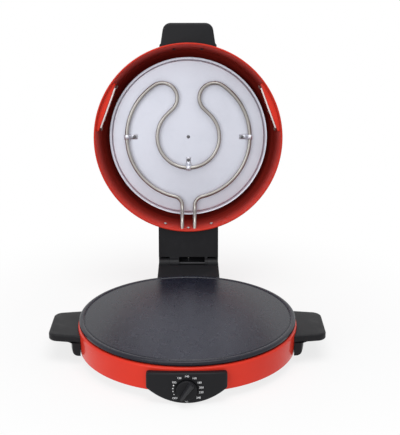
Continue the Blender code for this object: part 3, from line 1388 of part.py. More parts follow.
def element_leg(last):
    """The leg's points after the bend: it rises towards the rim, then runs level through the wall."""
    wall = lid_radius_at(ELEMENT_LEG_DEPTH)
    x = ELEMENT_LEG_HALF_SPACING
    level = -(wall - ELEMENT_LEG_LEVEL_RUN)
    rise = ELEMENT_DEPTH - ELEMENT_LEG_DEPTH
    run = last[1] - level
    shares = (0.2, 0.35, 0.65, 0.8, 1)
    slope = [(x, last[1] - run * share, ELEMENT_DEPTH - rise * bend_share(share)) for share in shares]
    return slope + [(x, -(wall + ELEMENT_LEG_PAST_WALL), ELEMENT_LEG_DEPTH)]


def bend_share(share):
    """An even S from 0 to 1."""
    return share * share * (3 - 2 * share)


def make_upper_element():
    """One tube: two mirrored halves that meet at the foot of the ring. The handle side is at -Y."""
    half = element_half()
    leg = element_leg(half[-1])
    right = [(x, -y, ELEMENT_DEPTH) for x, y in half] + [(x, -y, depth) for x, y, depth in leg]
    left = [(-x, y, depth) for x, y, depth in reversed(right[1:])]
    tube("upper_element", left + right, TUBE_RADIUS, LID, "element_steel")


def clip_places():
    """Each clip: its name, and the matrix that puts the tube at the origin with the pad towards +X."""
    return [
        ("left", Matrix.Translation((-ELEMENT_OUTER_RADIUS, 0, 0))),
        ("right", Matrix.Translation((ELEMENT_OUTER_RADIUS, 0, 0)) @ Matrix.Rotation(math.pi, 4, "Z")),
        ("rear", Matrix.Translation((0, ELEMENT_RING_RADIUS, 0)) @ Matrix.Rotation(-math.pi / 2, 4, "Z")),
    ]


def make_clips():
    """Bent straps over the tube, each on a pad with a screw. Returns the screws' places."""
    pad = REFLECTOR_DEPTH - GAP - CLIP_THICKNESS / 2
    saddle = TUBE_RADIUS + CLIP_CLEARANCE + CLIP_THICKNESS / 2
    middle = CLIP_PAD_START + CLIP_PAD_LENGTH / 2
    hook = ELEMENT_DEPTH + TUBE_RADIUS / 2
    path = [(CLIP_PAD_START + CLIP_PAD_LENGTH, pad), (CLIP_PAD_START, pad), (saddle, hook)]
    path += arc((0, ELEMENT_DEPTH), saddle, 0, -math.pi, 6)
    path.append((-saddle, hook))
    places = []
    for name, place in clip_places():
        bm = bmesh.new()
        rows = [[bm.verts.new((x, side * CLIP_WIDTH / 2, z)) for x, z in path] for side in (-1, 1)]
        for index in range(len(path) - 1):
            bm.faces.new((rows[0][index], rows[0][index + 1], rows[1][index + 1], rows[1][index]))
        clip = from_bmesh(f"element_clip_{name}", bm, LID, "zinc_steel")
        clip.matrix_local = place
        solidify = clip.modifiers.new("strap", "SOLIDIFY")
        solidify.thickness = CLIP_THICKNESS
        solidify.offset = 0
        solidify.use_even_offset = True
        centre = place @ Vector((middle, 0, 0))
        start = (centre.x, centre.y, pad - OVERRUN)
        end = (centre.x, centre.y, pad + OVERRUN)
        hole = rods(f"element_clip_hole_{name}", [(start, end, SCREW_RADIUS + GAP)], LID, steps=SCREW_STEPS)
        boolean(clip, hole)
        seat = (centre.x, centre.y, pad - CLIP_THICKNESS / 2 - GAP)
        screw(f"element_clip_screw_{name}", seat, (0, 0, 1), SCREW_BITE / 2, LID)
        places.append((centre.x, centre.y))
    return places


def make_element_flange():
    """The plate behind the wall that the legs pass through, and its screw. Returns the holes they need."""
    inner = lid_radius_at(ELEMENT_LEG_DEPTH - ELEMENT_FLANGE_HEIGHT / 2) + GAP
    outer = inner + ELEMENT_FLANGE_THICKNESS
    low = (-ELEMENT_FLANGE_HALF_WIDTH, inner, ELEMENT_LEG_DEPTH - ELEMENT_FLANGE_HEIGHT / 2)
    high = (ELEMENT_FLANGE_HALF_WIDTH, outer, ELEMENT_LEG_DEPTH + ELEMENT_FLANGE_HEIGHT / 2)
    flange = box("element_flange", low, high, LID, "zinc_steel")
    seat = flat_radius(lid_radius_at(ELEMENT_LEG_DEPTH + SCREW_HEAD_RADIUS) - LID_SHEET) - GAP
    grip = outer - seat + SCREW_BITE / 3
    screw("element_flange_screw", (0, seat, ELEMENT_LEG_DEPTH), (0, 1, 0), grip, LID)
    start = seat - OVERRUN
    past = inner + ELEMENT_LEG_PAST_WALL + OVERRUN
    holes = [
        ((x, start, ELEMENT_LEG_DEPTH), (x, past, ELEMENT_LEG_DEPTH), TUBE_RADIUS + GAP)
        for x in (-ELEMENT_LEG_HALF_SPACING, ELEMENT_LEG_HALF_SPACING)
    ]
    screw_end = seat + grip + GAP
    holes.append(((0, start, ELEMENT_LEG_DEPTH), (0, screw_end, ELEMENT_LEG_DEPTH), SCREW_RADIUS + GAP))
    boolean(flange, rods("element_flange_holes", holes, LID))
    return holes


# Lid handle and arm


def make_lid_handle():
    """The same moulding as the side handles, its grip by the rim and its leg up the lid's wall."""
    turn = Matrix.Rotation(-math.pi / 2, 4, "Z") @ Matrix.Rotation(math.pi, 4, "X")
    place = Matrix.Translation((0, 0, LID_GRIP_ABOVE_RIM)) @ turn
    handle = make_handle("lid_handle", lid_radius_at(LID_GRIP_ABOVE_RIM + LEG_DROP), LID, place)
    boolean(handle, lid_clearance("handle_lid_clearance"))
    depth = LID_GRIP_ABOVE_RIM + HANDLE_SCREW_DROP
    angles = [-math.pi / 2 - HANDLE_SCREW_SPREAD, -math.pi / 2 + HANDLE_SCREW_SPREAD]
    names = ["lid_handle_screw_1", "lid_handle_screw_2"]
    wall_radius = lid_radius_at(depth + SCREW_HEAD_RADIUS)
    holes = radial_screws(names, angles, depth, wall_radius, LID_SHEET, LID, HANDLE_SCREW_BITE)
    boolean(handle, rods("lid_handle_holes", holes, LID))
    return holes


def arm_outline():
    """The arm's side view in the lid's frame."""
    axis = HINGE_DEPTH
    face = axis + ARM_FACE_ABOVE_AXIS
    clear = KNUCKLE_RADIUS + ARM_RELIEF
    relief = arc((HINGE_Y, axis), clear, math.pi - math.asin(ARM_FACE_ABOVE_AXIS / clear), math.pi / 2, 5)
    crest, shelf_start = arm_back()
    return (
        [(arm_start(), face)]
        + relief
        + [
            (HINGE_Y + ARM_TAIL_THICKNESS / 2, crest[1] - ARM_TAIL_THICKNESS / 2),
            crest,
            shelf_start,
            (HINGE_Y - ARM_SHELF_END_BEFORE_AXIS, shelf_start[1]),
            (HINGE_Y - ARM_SHOULDER_BEFORE_AXIS, axis + ARM_SHOULDER_RISE),
            (arm_start(), axis + ARM_LID_RISE),
        ]
    )


def arm_start():
    """The Y, inside the lid's wall, that the arm's outline starts from before the wall's form is cut away."""
    return LID_WALL_RADIUS - ARM_HALF_WIDTH**2 / LID_WALL_RADIUS


def make_lid_arm(lid_holes):
    """The arm, hollow from the lid's side, with its two knuckles. Returns the holes of its own screws."""
    width = 2 * ARM_HALF_WIDTH
    arm = prism("lid_arm", arm_outline(), width, LID, "black_plastic", SIDE_VIEW)
    axis = HINGE_DEPTH
    reach = KNUCKLE_RADIUS + ARM_RELIEF + ARM_TAIL_THICKNESS / 2
    knuckle = arc((HINGE_Y, axis), KNUCKLE_RADIUS, math.radians(-190), math.radians(60), 13)
    knuckle += [
        (HINGE_Y + KNUCKLE_RADIUS / 2, axis + reach),
        (HINGE_Y - reach, axis + reach),
        (HINGE_Y - reach, axis + ARM_FACE_ABOVE_AXIS + GAP),
    ]
    for index, (low_x, high_x) in enumerate(arm_knuckles(), 1):
        view = Matrix.Translation(((low_x + high_x) / 2, 0, 0)) @ SIDE_VIEW
        boolean(arm, prism(f"arm_knuckle_{index}", knuckle, high_x - low_x, LID, view=view), "UNION")

    cavity_end = HINGE_Y - ARM_CAVITY_END_BEFORE_AXIS
    roof = axis + ARM_TAIL_RISE + ARM_TAIL_THICKNESS - ARM_WALL
    cavity = [
        (arm_start() - OVERRUN, axis + ARM_FACE_ABOVE_AXIS + ARM_WALL),
        (cavity_end, axis + ARM_FACE_ABOVE_AXIS + ARM_WALL),
        (cavity_end, roof),
        (HINGE_Y - ARM_SHOULDER_BEFORE_AXIS, axis + ARM_SHOULDER_RISE - ARM_WALL),
        (arm_start() - OVERRUN, axis + ARM_LID_RISE - ARM_WALL),
    ]
    boolean(arm, prism("arm_cavity", cavity, 2 * ARM_CAVITY_HALF_WIDTH, LID, view=SIDE_VIEW))
    boolean(arm, lid_clearance("arm_lid_clearance"))
    pin = [((-width, HINGE_Y, axis), (width, HINGE_Y, axis), PIN_RADIUS + GAP)]
    boolean(arm, rods("arm_pin_bore", pin, LID, steps=12))
    names = ["arm_screw_1", "arm_screw_2"]
    angles = [math.pi / 2 - ARM_SCREW_SPREAD, math.pi / 2 + ARM_SCREW_SPREAD]
    wall_radius = lid_radius_at(ARM_SCREW_DEPTH + SCREW_HEAD_RADIUS)
    screws = radial_screws(names, angles, ARM_SCREW_DEPTH, wall_radius, LID_SHEET, LID)
    lead_depth = lead_height()
    lead = ((0, cavity_end - OVERRUN, lead_depth), (0, HINGE_Y - PIN_RADIUS, lead_depth), LEAD_RADIUS + GAP)
    boolean(arm, rods("arm_holes", lid_holes + screws + [lead], LID))
    make_arm_lead(lead_depth)
    return screws


def lid_clearance(name):
    """The lid's outer form, grown by the gap, that the arm and the handle are cut by."""
    corner = LID_DEPTH - LID_CORNER
    rim = LID_RIM_RADIUS + GAP
    profile = [
        (0, LID_DEPTH),
        (lid_radius_at(corner) + GAP, LID_DEPTH),
        (lid_radius_at(corner) + GAP, corner),
        (LID_WALL_RADIUS + GAP, LID_FLARE_HEIGHT),
        (rim, 2 * LID_BEAD_RADIUS + GAP),
        (rim, -OVERRUN),
        (0, -OVERRUN),
    ]
    return turned(name, profile, LID, None, PANEL_STEPS)


def lead_height():
    return HINGE_DEPTH + KNUCKLE_RADIUS


def make_arm_lead(lead_depth):
    """The sleeve from the element's left leg to the gap over the hinge."""
    start = lid_radius_at(ELEMENT_LEG_DEPTH) + ELEMENT_LEG_PAST_WALL + GAP
    cavity_end = HINGE_Y - ARM_CAVITY_END_BEFORE_AXIS
    end = HINGE_Y - KNUCKLE_RADIUS
    path = [
        (-ELEMENT_LEG_HALF_SPACING, start, ELEMENT_LEG_DEPTH),
        (-ELEMENT_LEG_HALF_SPACING, start + 4 * LEAD_RADIUS, ELEMENT_LEG_DEPTH),
        (0, cavity_end - 2 * LEAD_RADIUS, lead_depth),
        (0, cavity_end + LEAD_RADIUS, lead_depth),
        (0, end, lead_depth),
    ]
    tube("arm_lead", smooth_path(path, 3 * LEAD_RADIUS), LEAD_RADIUS, LID, "pale_sleeve", 1)


def build_base():
    make_feet()
    make_bottom_cover()
    make_cooking_plate()
    make_lower_element()
    make_heat_shield()
    make_centre_stud()
    make_control_panel()
    holes = make_side_handles() + make_thermostat() + make_hinge_bracket()
    make_base_shell(holes)
    make_knob()
    make_thermostat_shaft()
    make_hinge_pin()
    make_terminal_block()
    make_wiring()


def build_lid():
    clip_screws = make_clips()
    make_reflector(clip_screws + [(0, 0)])
    make_reflector_post()
    make_upper_element()
    leg_holes = make_element_flange()
    arm_screws = make_lid_arm(leg_holes)
    make_lid_shell(leg_holes + arm_screws + make_lid_handle() + make_windows())


build_base()
build_lid()
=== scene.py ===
"""The electric roti maker dressed for its picture: surfaces, finishes, a studio and a camera.

Metres, +Z up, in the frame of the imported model. Pieces of the base are drawn about the plate's axis.
Pieces of the lid are drawn in the lid's own frame: its origin is where the plate's axis meets the rim,
+Z runs into the lid and -Y towards its handle.
"""

import json
import logging
import math
from dataclasses import dataclass, field, replace
from enum import Enum
from typing import Any, Iterable, Optional, Sequence, Union

import bmesh
import bpy
from mathutils import Matrix, Vector


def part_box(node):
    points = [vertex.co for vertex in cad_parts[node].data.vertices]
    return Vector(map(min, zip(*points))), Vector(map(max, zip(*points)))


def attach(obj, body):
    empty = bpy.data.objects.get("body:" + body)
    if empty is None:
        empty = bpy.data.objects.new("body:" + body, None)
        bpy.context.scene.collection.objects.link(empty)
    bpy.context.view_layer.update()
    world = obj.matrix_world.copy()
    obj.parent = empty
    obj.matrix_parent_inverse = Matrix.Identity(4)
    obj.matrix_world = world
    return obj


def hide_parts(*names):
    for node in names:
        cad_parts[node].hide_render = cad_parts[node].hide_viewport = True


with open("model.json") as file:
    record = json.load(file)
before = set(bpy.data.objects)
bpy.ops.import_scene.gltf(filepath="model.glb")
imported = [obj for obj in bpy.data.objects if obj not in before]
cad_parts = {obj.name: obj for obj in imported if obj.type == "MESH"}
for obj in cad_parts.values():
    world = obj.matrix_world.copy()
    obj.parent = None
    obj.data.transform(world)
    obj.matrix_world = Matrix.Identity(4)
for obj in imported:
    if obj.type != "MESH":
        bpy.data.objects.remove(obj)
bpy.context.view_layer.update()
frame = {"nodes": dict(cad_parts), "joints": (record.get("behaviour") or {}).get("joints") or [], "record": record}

LOG = logging.getLogger("roti_maker")

Point2 = tuple[float, float]
Point3 = tuple[float, float, float]
Colour = tuple[float, float, float]
BMesh = bmesh.types.BMesh
Object = bpy.types.Object
Material = bpy.types.Material

GAP = 0.0003
OVERRUN = 0.001
QUARTER = math.pi / 2
SHEET_SHARP = 35.0
PLASTIC_SHARP = 40.0


class Body(Enum):
    """The bodies that pieces ride on."""

    BASE = "base"
    LID = "lid"
    KNOB = "knob"


class Slot(Enum):
    """The record's material slots."""

    RED_PAINT = "red_paint"
    BLACK_PLASTIC = "black_plastic"
    NONSTICK = "nonstick"
    BARE_ALUMINIUM = "bare_aluminium"
    ELEMENT_STEEL = "element_steel"
    ZINC_STEEL = "zinc_steel"
    WINDOW_GLASS = "window_glass"
    FOOT_RUBBER = "foot_rubber"
    WHITE_CERAMIC = "white_ceramic"
    RED_WIRE = "red_wire"
    PALE_SLEEVE = "pale_sleeve"


# Shader building


class Wire:
    """A value in a shader, with arithmetic that adds the nodes it needs."""

    def __init__(self, graph: "Graph", socket: bpy.types.NodeSocket) -> None:
        """Keeps the graph and the output socket."""
        self.graph = graph
        self.socket = socket

    def _math(self, operation: str, *others: Any) -> "Wire":
        """A Math node's value, its sockets filled in order."""
        return self.graph.node("ShaderNodeMath", {"operation": operation}, dict(enumerate(others)))

    def __add__(self, other: Any) -> "Wire":
        """self + other."""
        return self._math("ADD", self, other)

    def __sub__(self, other: Any) -> "Wire":
        """self - other."""
        return self._math("SUBTRACT", self, other)

    def __rsub__(self, other: Any) -> "Wire":
        """other - self."""
        return self._math("SUBTRACT", other, self)

    def __mul__(self, other: Any) -> "Wire":
        """self * other."""
        return self._math("MULTIPLY", self, other)

    __radd__ = __add__
    __rmul__ = __mul__

    def most(self, other: Any) -> "Wire":
        """The larger of the two values."""
        return self._math("MAXIMUM", self, other)

    def between(self, low: float, high: float) -> "Wire":
        """The value's place from low, which gives 0, to high, which gives 1, smoothed."""
        values = {"Value": self, "From Min": low, "From Max": high}
        return self.graph.node("ShaderNodeMapRange", {"interpolation_type": "SMOOTHSTEP"}, values)


class Graph:
    """A node tree of a material or a world, with its shader."""

    def __init__(self, owner: Any, shader: str = "Principled BSDF", end: str = "Material Output") -> None:
        """Takes a new material or world.

        Args:
            owner: the material or world.
            shader: the name of the shader that it starts with.
            end: the name of its output node.
        """
        self.owner = owner
        owner.use_nodes = True
        self.tree = owner.node_tree
        self.shader = self.tree.nodes[shader]
        self.end = self.tree.nodes[end]
        self.place = self.node("ShaderNodeTexCoord", {}, {}, "Object")

    def node(self, kind: str, settings: dict[str, Any], values: dict[Any, Any], output: Any = 0) -> Wire:
        """Adds a node.

        Args:
            kind: the node's type.
            settings: its properties, set first.
            values: a value or a link for each input, by name or index.
            output: the output that is wanted.

        Returns:
            That output.
        """
        made = self.tree.nodes.new(kind)
        for key, setting in settings.items():
            setattr(made, key, setting)
        for key, value in values.items():
            self.fill(made.inputs[key], value)
        return Wire(self, made.outputs[output])

    def fill(self, socket: bpy.types.NodeSocket, value: Any) -> None:
        """Sets or links one input.

        Args:
            socket: the input.
            value: a number, a colour or a Wire.
        """
        if isinstance(value, Wire):
            self.tree.links.new(value.socket, socket)
        elif isinstance(value, tuple) and socket.type == "RGBA":
            socket.default_value = (*value, 1)
        else:
            socket.default_value = value

    def mix(self, factor: Any, one: Any, two: Any) -> Wire:
        """The first colour, with a share of the second."""
        settings = {"data_type": "RGBA", "blend_type": "MIX"}
        return self.node("ShaderNodeMix", settings, {0: factor, 6: one, 7: two}, 2)

    def bump(self, height: Wire, strength: float, distance: float) -> Wire:
        """A normal bumped by a height, whose full range is a distance in metres."""
        values = {"Strength": strength, "Distance": distance, "Height": height}
        return self.node("ShaderNodeBump", {}, values)

    def dress(self, **values: Any) -> None:
        """Fills the shader's inputs, by input name with _ for a space. None leaves an input alone."""
        for key, value in values.items():
            if value is not None:
                self.fill(self.shader.inputs[key.replace("_", " ")], value)

    def seen(self) -> Wire:
        """1 for a camera, glossy or transmission ray, else 0.

        Returns:
            That value.
        """
        kinds = ("Is Camera Ray", "Is Glossy Ray", "Is Transmission Ray")
        camera, glossy, transmission = (self.node("ShaderNodeLightPath", {}, {}, kind) for kind in kinds)
        return camera.most(glossy).most(transmission)

    def blend_shaders(self, factor: Any, two: Wire) -> None:
        """Ends the tree in its own shader, with a share of another."""
        values = {0: factor, 1: Wire(self, self.shader.outputs[0]), 2: two}
        self.tree.links.new(self.node("ShaderNodeMixShader", {}, values).socket, self.end.inputs["Surface"])


@dataclass(frozen=True)
class Layer:
    """A noise that varies a surface. wash and rough follow the noise, tint and rough_high its high parts."""

    scale: float
    detail: float = 3
    fineness: float = 0.6
    low: float = 0.5
    high: float = 0.75
    wash: float = 0.0
    tint: float = 0.0
    rough: float = 0.0
    rough_high: float = 0.0
    bump: Optional[Point2] = None
    colour: Optional[Colour] = None
    stretch: Optional[Point3] = None

    def noise(self, graph: Graph) -> Wire:
        """Its noise.

        Args:
            graph: the material's graph.

        Returns:
            The noise, from 0 to 1.
        """
        place = graph.place
        if self.stretch is not None:
            values = {0: place, 1: self.stretch}
            place = graph.node("ShaderNodeVectorMath", {"operation": "MULTIPLY"}, values)
        values = {"Vector": place, "Scale": self.scale, "Detail": self.detail, "Roughness": self.fineness}
        return graph.node("ShaderNodeTexNoise", {}, values, "Fac")


@dataclass(frozen=True)
class Finish:
    """A recipe for a material: a colour that turns to another, a roughness, and layers that vary them."""

    colour: Colour
    other: Colour
    roughness: float = 0.5
    metallic: float = 0.0
    gloss: float = 0.5
    refraction: Optional[float] = None
    clear: float = 0.0
    coat: float = 0.0
    coat_roughness: float = 0.1

    def layers(self) -> tuple[Layer, ...]:
        """The layers, in order."""
        return ()

    def paint_depth_shade(self, graph: Graph, colour: Any, noise: Wire) -> Any:
        """The colour over the first layer, whose noise is given; a finish may add painted shade here."""
        return colour

    def graph(self, name: str) -> Graph:
        """Makes the material.

        Args:
            name: its name.

        Returns:
            Its graph.
        """
        graph = Graph(bpy.data.materials.new(name))
        colour, rough, normal = self.colour, self.roughness, None
        for index, layer in enumerate(self.layers()):
            noise = layer.noise(graph)
            other = layer.colour or self.other
            if layer.wash:
                colour = graph.mix(noise * layer.wash, colour, other)
            if layer.tint:
                colour = graph.mix(noise.between(layer.low, layer.high) * layer.tint, colour, other)
            if layer.rough:
                rough = rough + noise * layer.rough
            if layer.rough_high:
                rough = rough + noise.between(layer.low, layer.high) * layer.rough_high
            if layer.bump:
                normal = graph.bump(noise, *layer.bump)
            if index == 0:
                colour = self.paint_depth_shade(graph, colour, noise)
        graph.dress(Base_Color=colour, Roughness=rough, Normal=normal, Metallic=self.metallic)
        graph.dress(Specular_IOR_Level=self.gloss, IOR=self.refraction, Transmission_Weight=self.clear)
        graph.dress(Coat_Weight=self.coat, Coat_Roughness=self.coat_roughness)
        return graph


@dataclass(frozen=True)
class Enamel(Finish):
    """Glossy paint on steel sheet; with a painted shade colour it turns darker with depth, as painted shade in a
    hollow.
    """

    roughness: float = 0.20
    gloss: float = 0.19
    refraction: float = 1.45
    coat: float = 0.05
    dust: Colour = (0.55, 0.25, 0.20)
    painted_shade: Optional[Colour] = None
    painted_shade_low: float = 0.004
    painted_shade_high: float = 0.052
    painted_shade_waver: float = 0.006

    def layers(self) -> tuple[Layer, ...]:
        """Unevenness, dust specks, hair-fine scuffs and orange peel.

        Returns:
            The layers, in order.
        """
        return (
            Layer(9, 4, 0.6, 0.35, 0.7, tint=0.5, rough=0.05),
            Layer(900, 2, 0.6, 0.66, 0.74, tint=0.05, colour=self.dust),
            Layer(60, 6, 0.7, 0.60, 0.72, rough_high=0.10, stretch=(1, 1, 9)),
            Layer(420, 2, 0.4, bump=(0.12, 0.0004)),
        )

    def paint_depth_shade(self, graph: Graph, colour: Any, noise: Wire) -> Any:
        """Turns the colour to the painted shade colour with depth: painted shade, darker deeper in.

        Args:
            graph: the material's graph.
            colour: the colour so far.
            noise: what the painted shade's edge wavers by.

        Returns:
            The stained colour.
        """
        if self.painted_shade is None:
            return colour
        # Painted shade: the colour darkens from painted_shade_low to painted_shade_high in depth.
        depth = graph.node("ShaderNodeSeparateXYZ", {}, {0: graph.place}, "Z")
        depth_shade_share = (depth + noise * self.painted_shade_waver).between(self.painted_shade_low, self.painted_shade_high)
        return graph.mix(depth_shade_share, colour, self.painted_shade)


@dataclass(frozen=True)
class Moulding(Finish):
    """Fine-grained plastic."""

    roughness: float = 0.46
    gloss: float = 0.24
    refraction: float = 1.48

    def layers(self) -> tuple[Layer, ...]:
        """Places that hands have rubbed, grain and unevenness.

        Returns:
            The layers, in order.
        """
        return (
            Layer(35, 5, 0.65, 0.52, 0.72, tint=0.35, rough_high=-0.08),
            Layer(1500, 2, 0.55, 0.55, 0.8, tint=0.25, bump=(0.35, 0.00016)),
            Layer(14, 4, rough=0.10),
        )


@dataclass(frozen=True)
class Coating(Finish):
    """A dark non-stick coat on cast aluminium."""

    roughness: float = 0.24
    gloss: float = 0.32
    refraction: float = 1.5

    def layers(self) -> tuple[Layer, ...]:
        """A faint mottle, fine grit and streaks of use.

        Returns:
            The layers, in order.
        """
        return (
            Layer(22, 5, 0.65, 0.35, 0.75, tint=0.5, rough=0.06),
            Layer(2200, 2, 0.6, 0.62, 0.72, tint=0.30, bump=(0.22, 0.00012)),
            Layer(40, 6, 0.7, 0.58, 0.75, rough_high=0.05, stretch=(6, 1, 1)),
        )


@dataclass(frozen=True)
class Metal(Finish):
    """Bare or plated metal."""

    metallic: float = 1.0
    grain: float = 260
    stretch: Point3 = (1, 1, 1)

    def layers(self) -> tuple[Layer, ...]:
        """Blotches of heat or handling, and rolling or drawing marks.

        Returns:
            The layers, in order.
        """
        bump, stretch = (0.25, 0.00005), self.stretch
        marks = Layer(self.grain, 4, low=0.55, tint=0.18, rough=0.06, bump=bump, stretch=stretch)
        return Layer(11, 5, 0.65, 0.42, 0.72, tint=0.6, rough=0.08), marks


@dataclass(frozen=True)
class Glass(Finish):
    """Clear heat-proof glass."""

    roughness: float = 0.03
    refraction: float = 1.47
    clear: float = 1.0

    def layers(self) -> tuple[Layer, ...]:
        """A faint film."""
        return (Layer(45, 5, 0.65, 0.5, 0.8, wash=0.2, rough_high=0.08, bump=(0.05, 0.0002)),)


@dataclass(frozen=True)
class Dull(Finish):
    """A dull surface: rubber, ceramic, insulation, woven sleeve, ground glass or printed ink."""

    grain: float = 700
    depth: float = 0.00012
    stretch: Point3 = (1, 1, 1)

    def layers(self) -> tuple[Layer, ...]:
        """Unevenness and grain.

        Returns:
            The layers, in order.
        """
        bump, stretch = (0.3, self.depth), self.stretch
        grain = Layer(self.grain, low=0.55, tint=0.3, rough=0.08, bump=bump, stretch=stretch)
        return Layer(30, 4, 0.6, 0.4, 0.7, tint=0.5), grain


@dataclass(frozen=True)
class Paper(Finish):
    """The studio's floor."""

    roughness: float = 0.9
    gloss: float = 0.0

    def layers(self) -> tuple[Layer, ...]:
        """A broad change of tone."""
        return (Layer(3, 3, 0.5, wash=0.3),)


FINISHES: dict[Slot, Finish] = {
    Slot.RED_PAINT: Enamel((0.80, 0.040, 0.019), (0.71, 0.031, 0.015)),
    Slot.BLACK_PLASTIC: Moulding((0.0056, 0.0056, 0.0072), (0.0120, 0.0120, 0.0150)),
    Slot.NONSTICK: Coating((0.0060, 0.0070, 0.0150), (0.0120, 0.0135, 0.0250)),
    Slot.BARE_ALUMINIUM: Metal(
        (0.63, 0.645, 0.72), (0.57, 0.585, 0.655), 0.42, metallic=0.85, grain=90, stretch=(1, 7, 1)
    ),
    Slot.ELEMENT_STEEL: Metal((0.40, 0.385, 0.365), (0.25, 0.235, 0.215), 0.30, grain=500),
    Slot.ZINC_STEEL: Metal((0.46, 0.46, 0.46), (0.34, 0.335, 0.325), 0.40, grain=400),
    Slot.WINDOW_GLASS: Glass((0.93, 0.96, 0.95), (0.85, 0.90, 0.88)),
    Slot.FOOT_RUBBER: Dull((0.020, 0.020, 0.021), (0.045, 0.044, 0.043), 0.78),
    Slot.WHITE_CERAMIC: Dull((0.78, 0.76, 0.70), (0.68, 0.65, 0.58), 0.38, grain=500, depth=0.00008),
    Slot.RED_WIRE: Dull((0.55, 0.04, 0.03), (0.40, 0.03, 0.02), 0.52, grain=400, depth=0.00006),
    Slot.PALE_SLEEVE: Dull(
        (0.66, 0.64, 0.56), (0.46, 0.44, 0.37), 0.82, grain=900, depth=0.0003, stretch=(1, 1, 2)
    ),
}


# Mesh building


def shares(steps: int) -> list[float]:
    """Even shares, from 1 / steps to 1."""
    return [step / steps for step in range(1, steps + 1)]


def ease(share: float) -> float:
    """A share from 0 to 1, slowed at both ends."""
    return share * share * (3 - 2 * share)


def quarter(steps: int) -> list[Point2]:
    """What a quarter turn has gained, 1 - cos, and what it still lacks, 1 - sin, at even steps."""
    turns = [QUARTER * step / steps for step in range(steps + 1)]
    return [(1 - math.cos(turn), 1 - math.sin(turn)) for turn in turns]


def arc(centre: Point2, radius: float, start: float, end: float, steps: int) -> list[Point2]:
    """Points on an arc about a centre, from one angle to another, both ends included."""
    angles = [start + (end - start) * step / steps for step in range(steps + 1)]
    return [(centre[0] + radius * math.cos(a), centre[1] + radius * math.sin(a)) for a in angles]


def rounded(corners: Sequence[Point3], steps: int, closed: bool = False) -> list[Point2]:
    """An outline with its corners rounded.

    Args:
        corners: (x, y, radius) of each corner.
        steps: the pieces of each round.
        closed: whether the last corner meets the first.

    Returns:
        The outline's points.
    """
    path: list[Point2] = []
    count = len(corners)
    for index, (x, y, radius) in enumerate(corners):
        if radius <= 0 or (not closed and index in (0, count - 1)):
            path.append((x, y))
            continue
        here = Vector((x, y))
        back = (Vector(corners[index - 1][:2]) - here).normalized()
        ahead = (Vector(corners[(index + 1) % count][:2]) - here).normalized()
        half = math.acos(max(-1.0, min(1.0, back.dot(ahead)))) / 2
        centre = here + (back + ahead).normalized() * (radius / math.sin(half))
        one = here + back * (radius / math.tan(half)) - centre
        two = here + ahead * (radius / math.tan(half)) - centre
        start = math.atan2(one.y, one.x)
        sweep = math.remainder(math.atan2(two.y, two.x) - start, math.tau)
        path += arc((centre.x, centre.y), radius, start, start + sweep, steps)
    return path


def spread(path: Sequence[Point2], count: int) -> list[Point2]:
    """Evenly spaced points along a path.

    Args:
        path: the path's points.
        count: how many points are wanted.

    Returns:
        The points, both ends included.
    """
    lengths = [0.0]
    for one, two in zip(path, path[1:]):
        lengths.append(lengths[-1] + math.dist(one, two))
    points: list[Point2] = []
    piece = 0
    for index in range(count):
        want = lengths[-1] * index / (count - 1)
        while piece < len(path) - 2 and lengths[piece + 1] < want:
            piece += 1
        run = lengths[piece + 1] - lengths[piece]
        share = 0.0 if run == 0 else (want - lengths[piece]) / run
        one, two = path[piece], path[piece + 1]
        points.append((one[0] + (two[0] - one[0]) * share, one[1] + (two[1] - one[1]) * share))
    return points


def in_scene(name: str, data: Any) -> Object:
    """Puts a new object in the scene.

    Args:
        name: its name.
        data: its mesh, curve, lamp or camera.

    Returns:
        The object.
    """
    obj = bpy.data.objects.new(name, data)
    bpy.context.scene.collection.objects.link(obj)
    return obj


def solid(name: str, data: Union[BMesh, bpy.types.Curve], place: Matrix) -> Object:
    """Makes a bare object.

    Args:
        name: its name.
        data: its curve, or its mesh, which is used up.
        place: where it goes.

    Returns:
        The object.
    """
    held = data
    if isinstance(data, BMesh):
        held = bpy.data.meshes.new(name)
        data.to_mesh(held)
        data.free()
    obj = in_scene(name, held)
    obj.matrix_world = place
    return obj


def smooth(mesh: bpy.types.Mesh, sharp: float) -> None:
    """Smooths a mesh, apart from edges past an angle in degrees."""
    mesh.shade_smooth()
    mesh.set_sharp_from_angle(angle=math.radians(sharp))


def melted(obj: Object) -> BMesh:
    """Takes an object away.

    Args:
        obj: the object.

    Returns:
        Its mesh.
    """
    bm = bmesh.new()
    bm.from_mesh(obj.data)
    bpy.data.objects.remove(obj)
    return bm


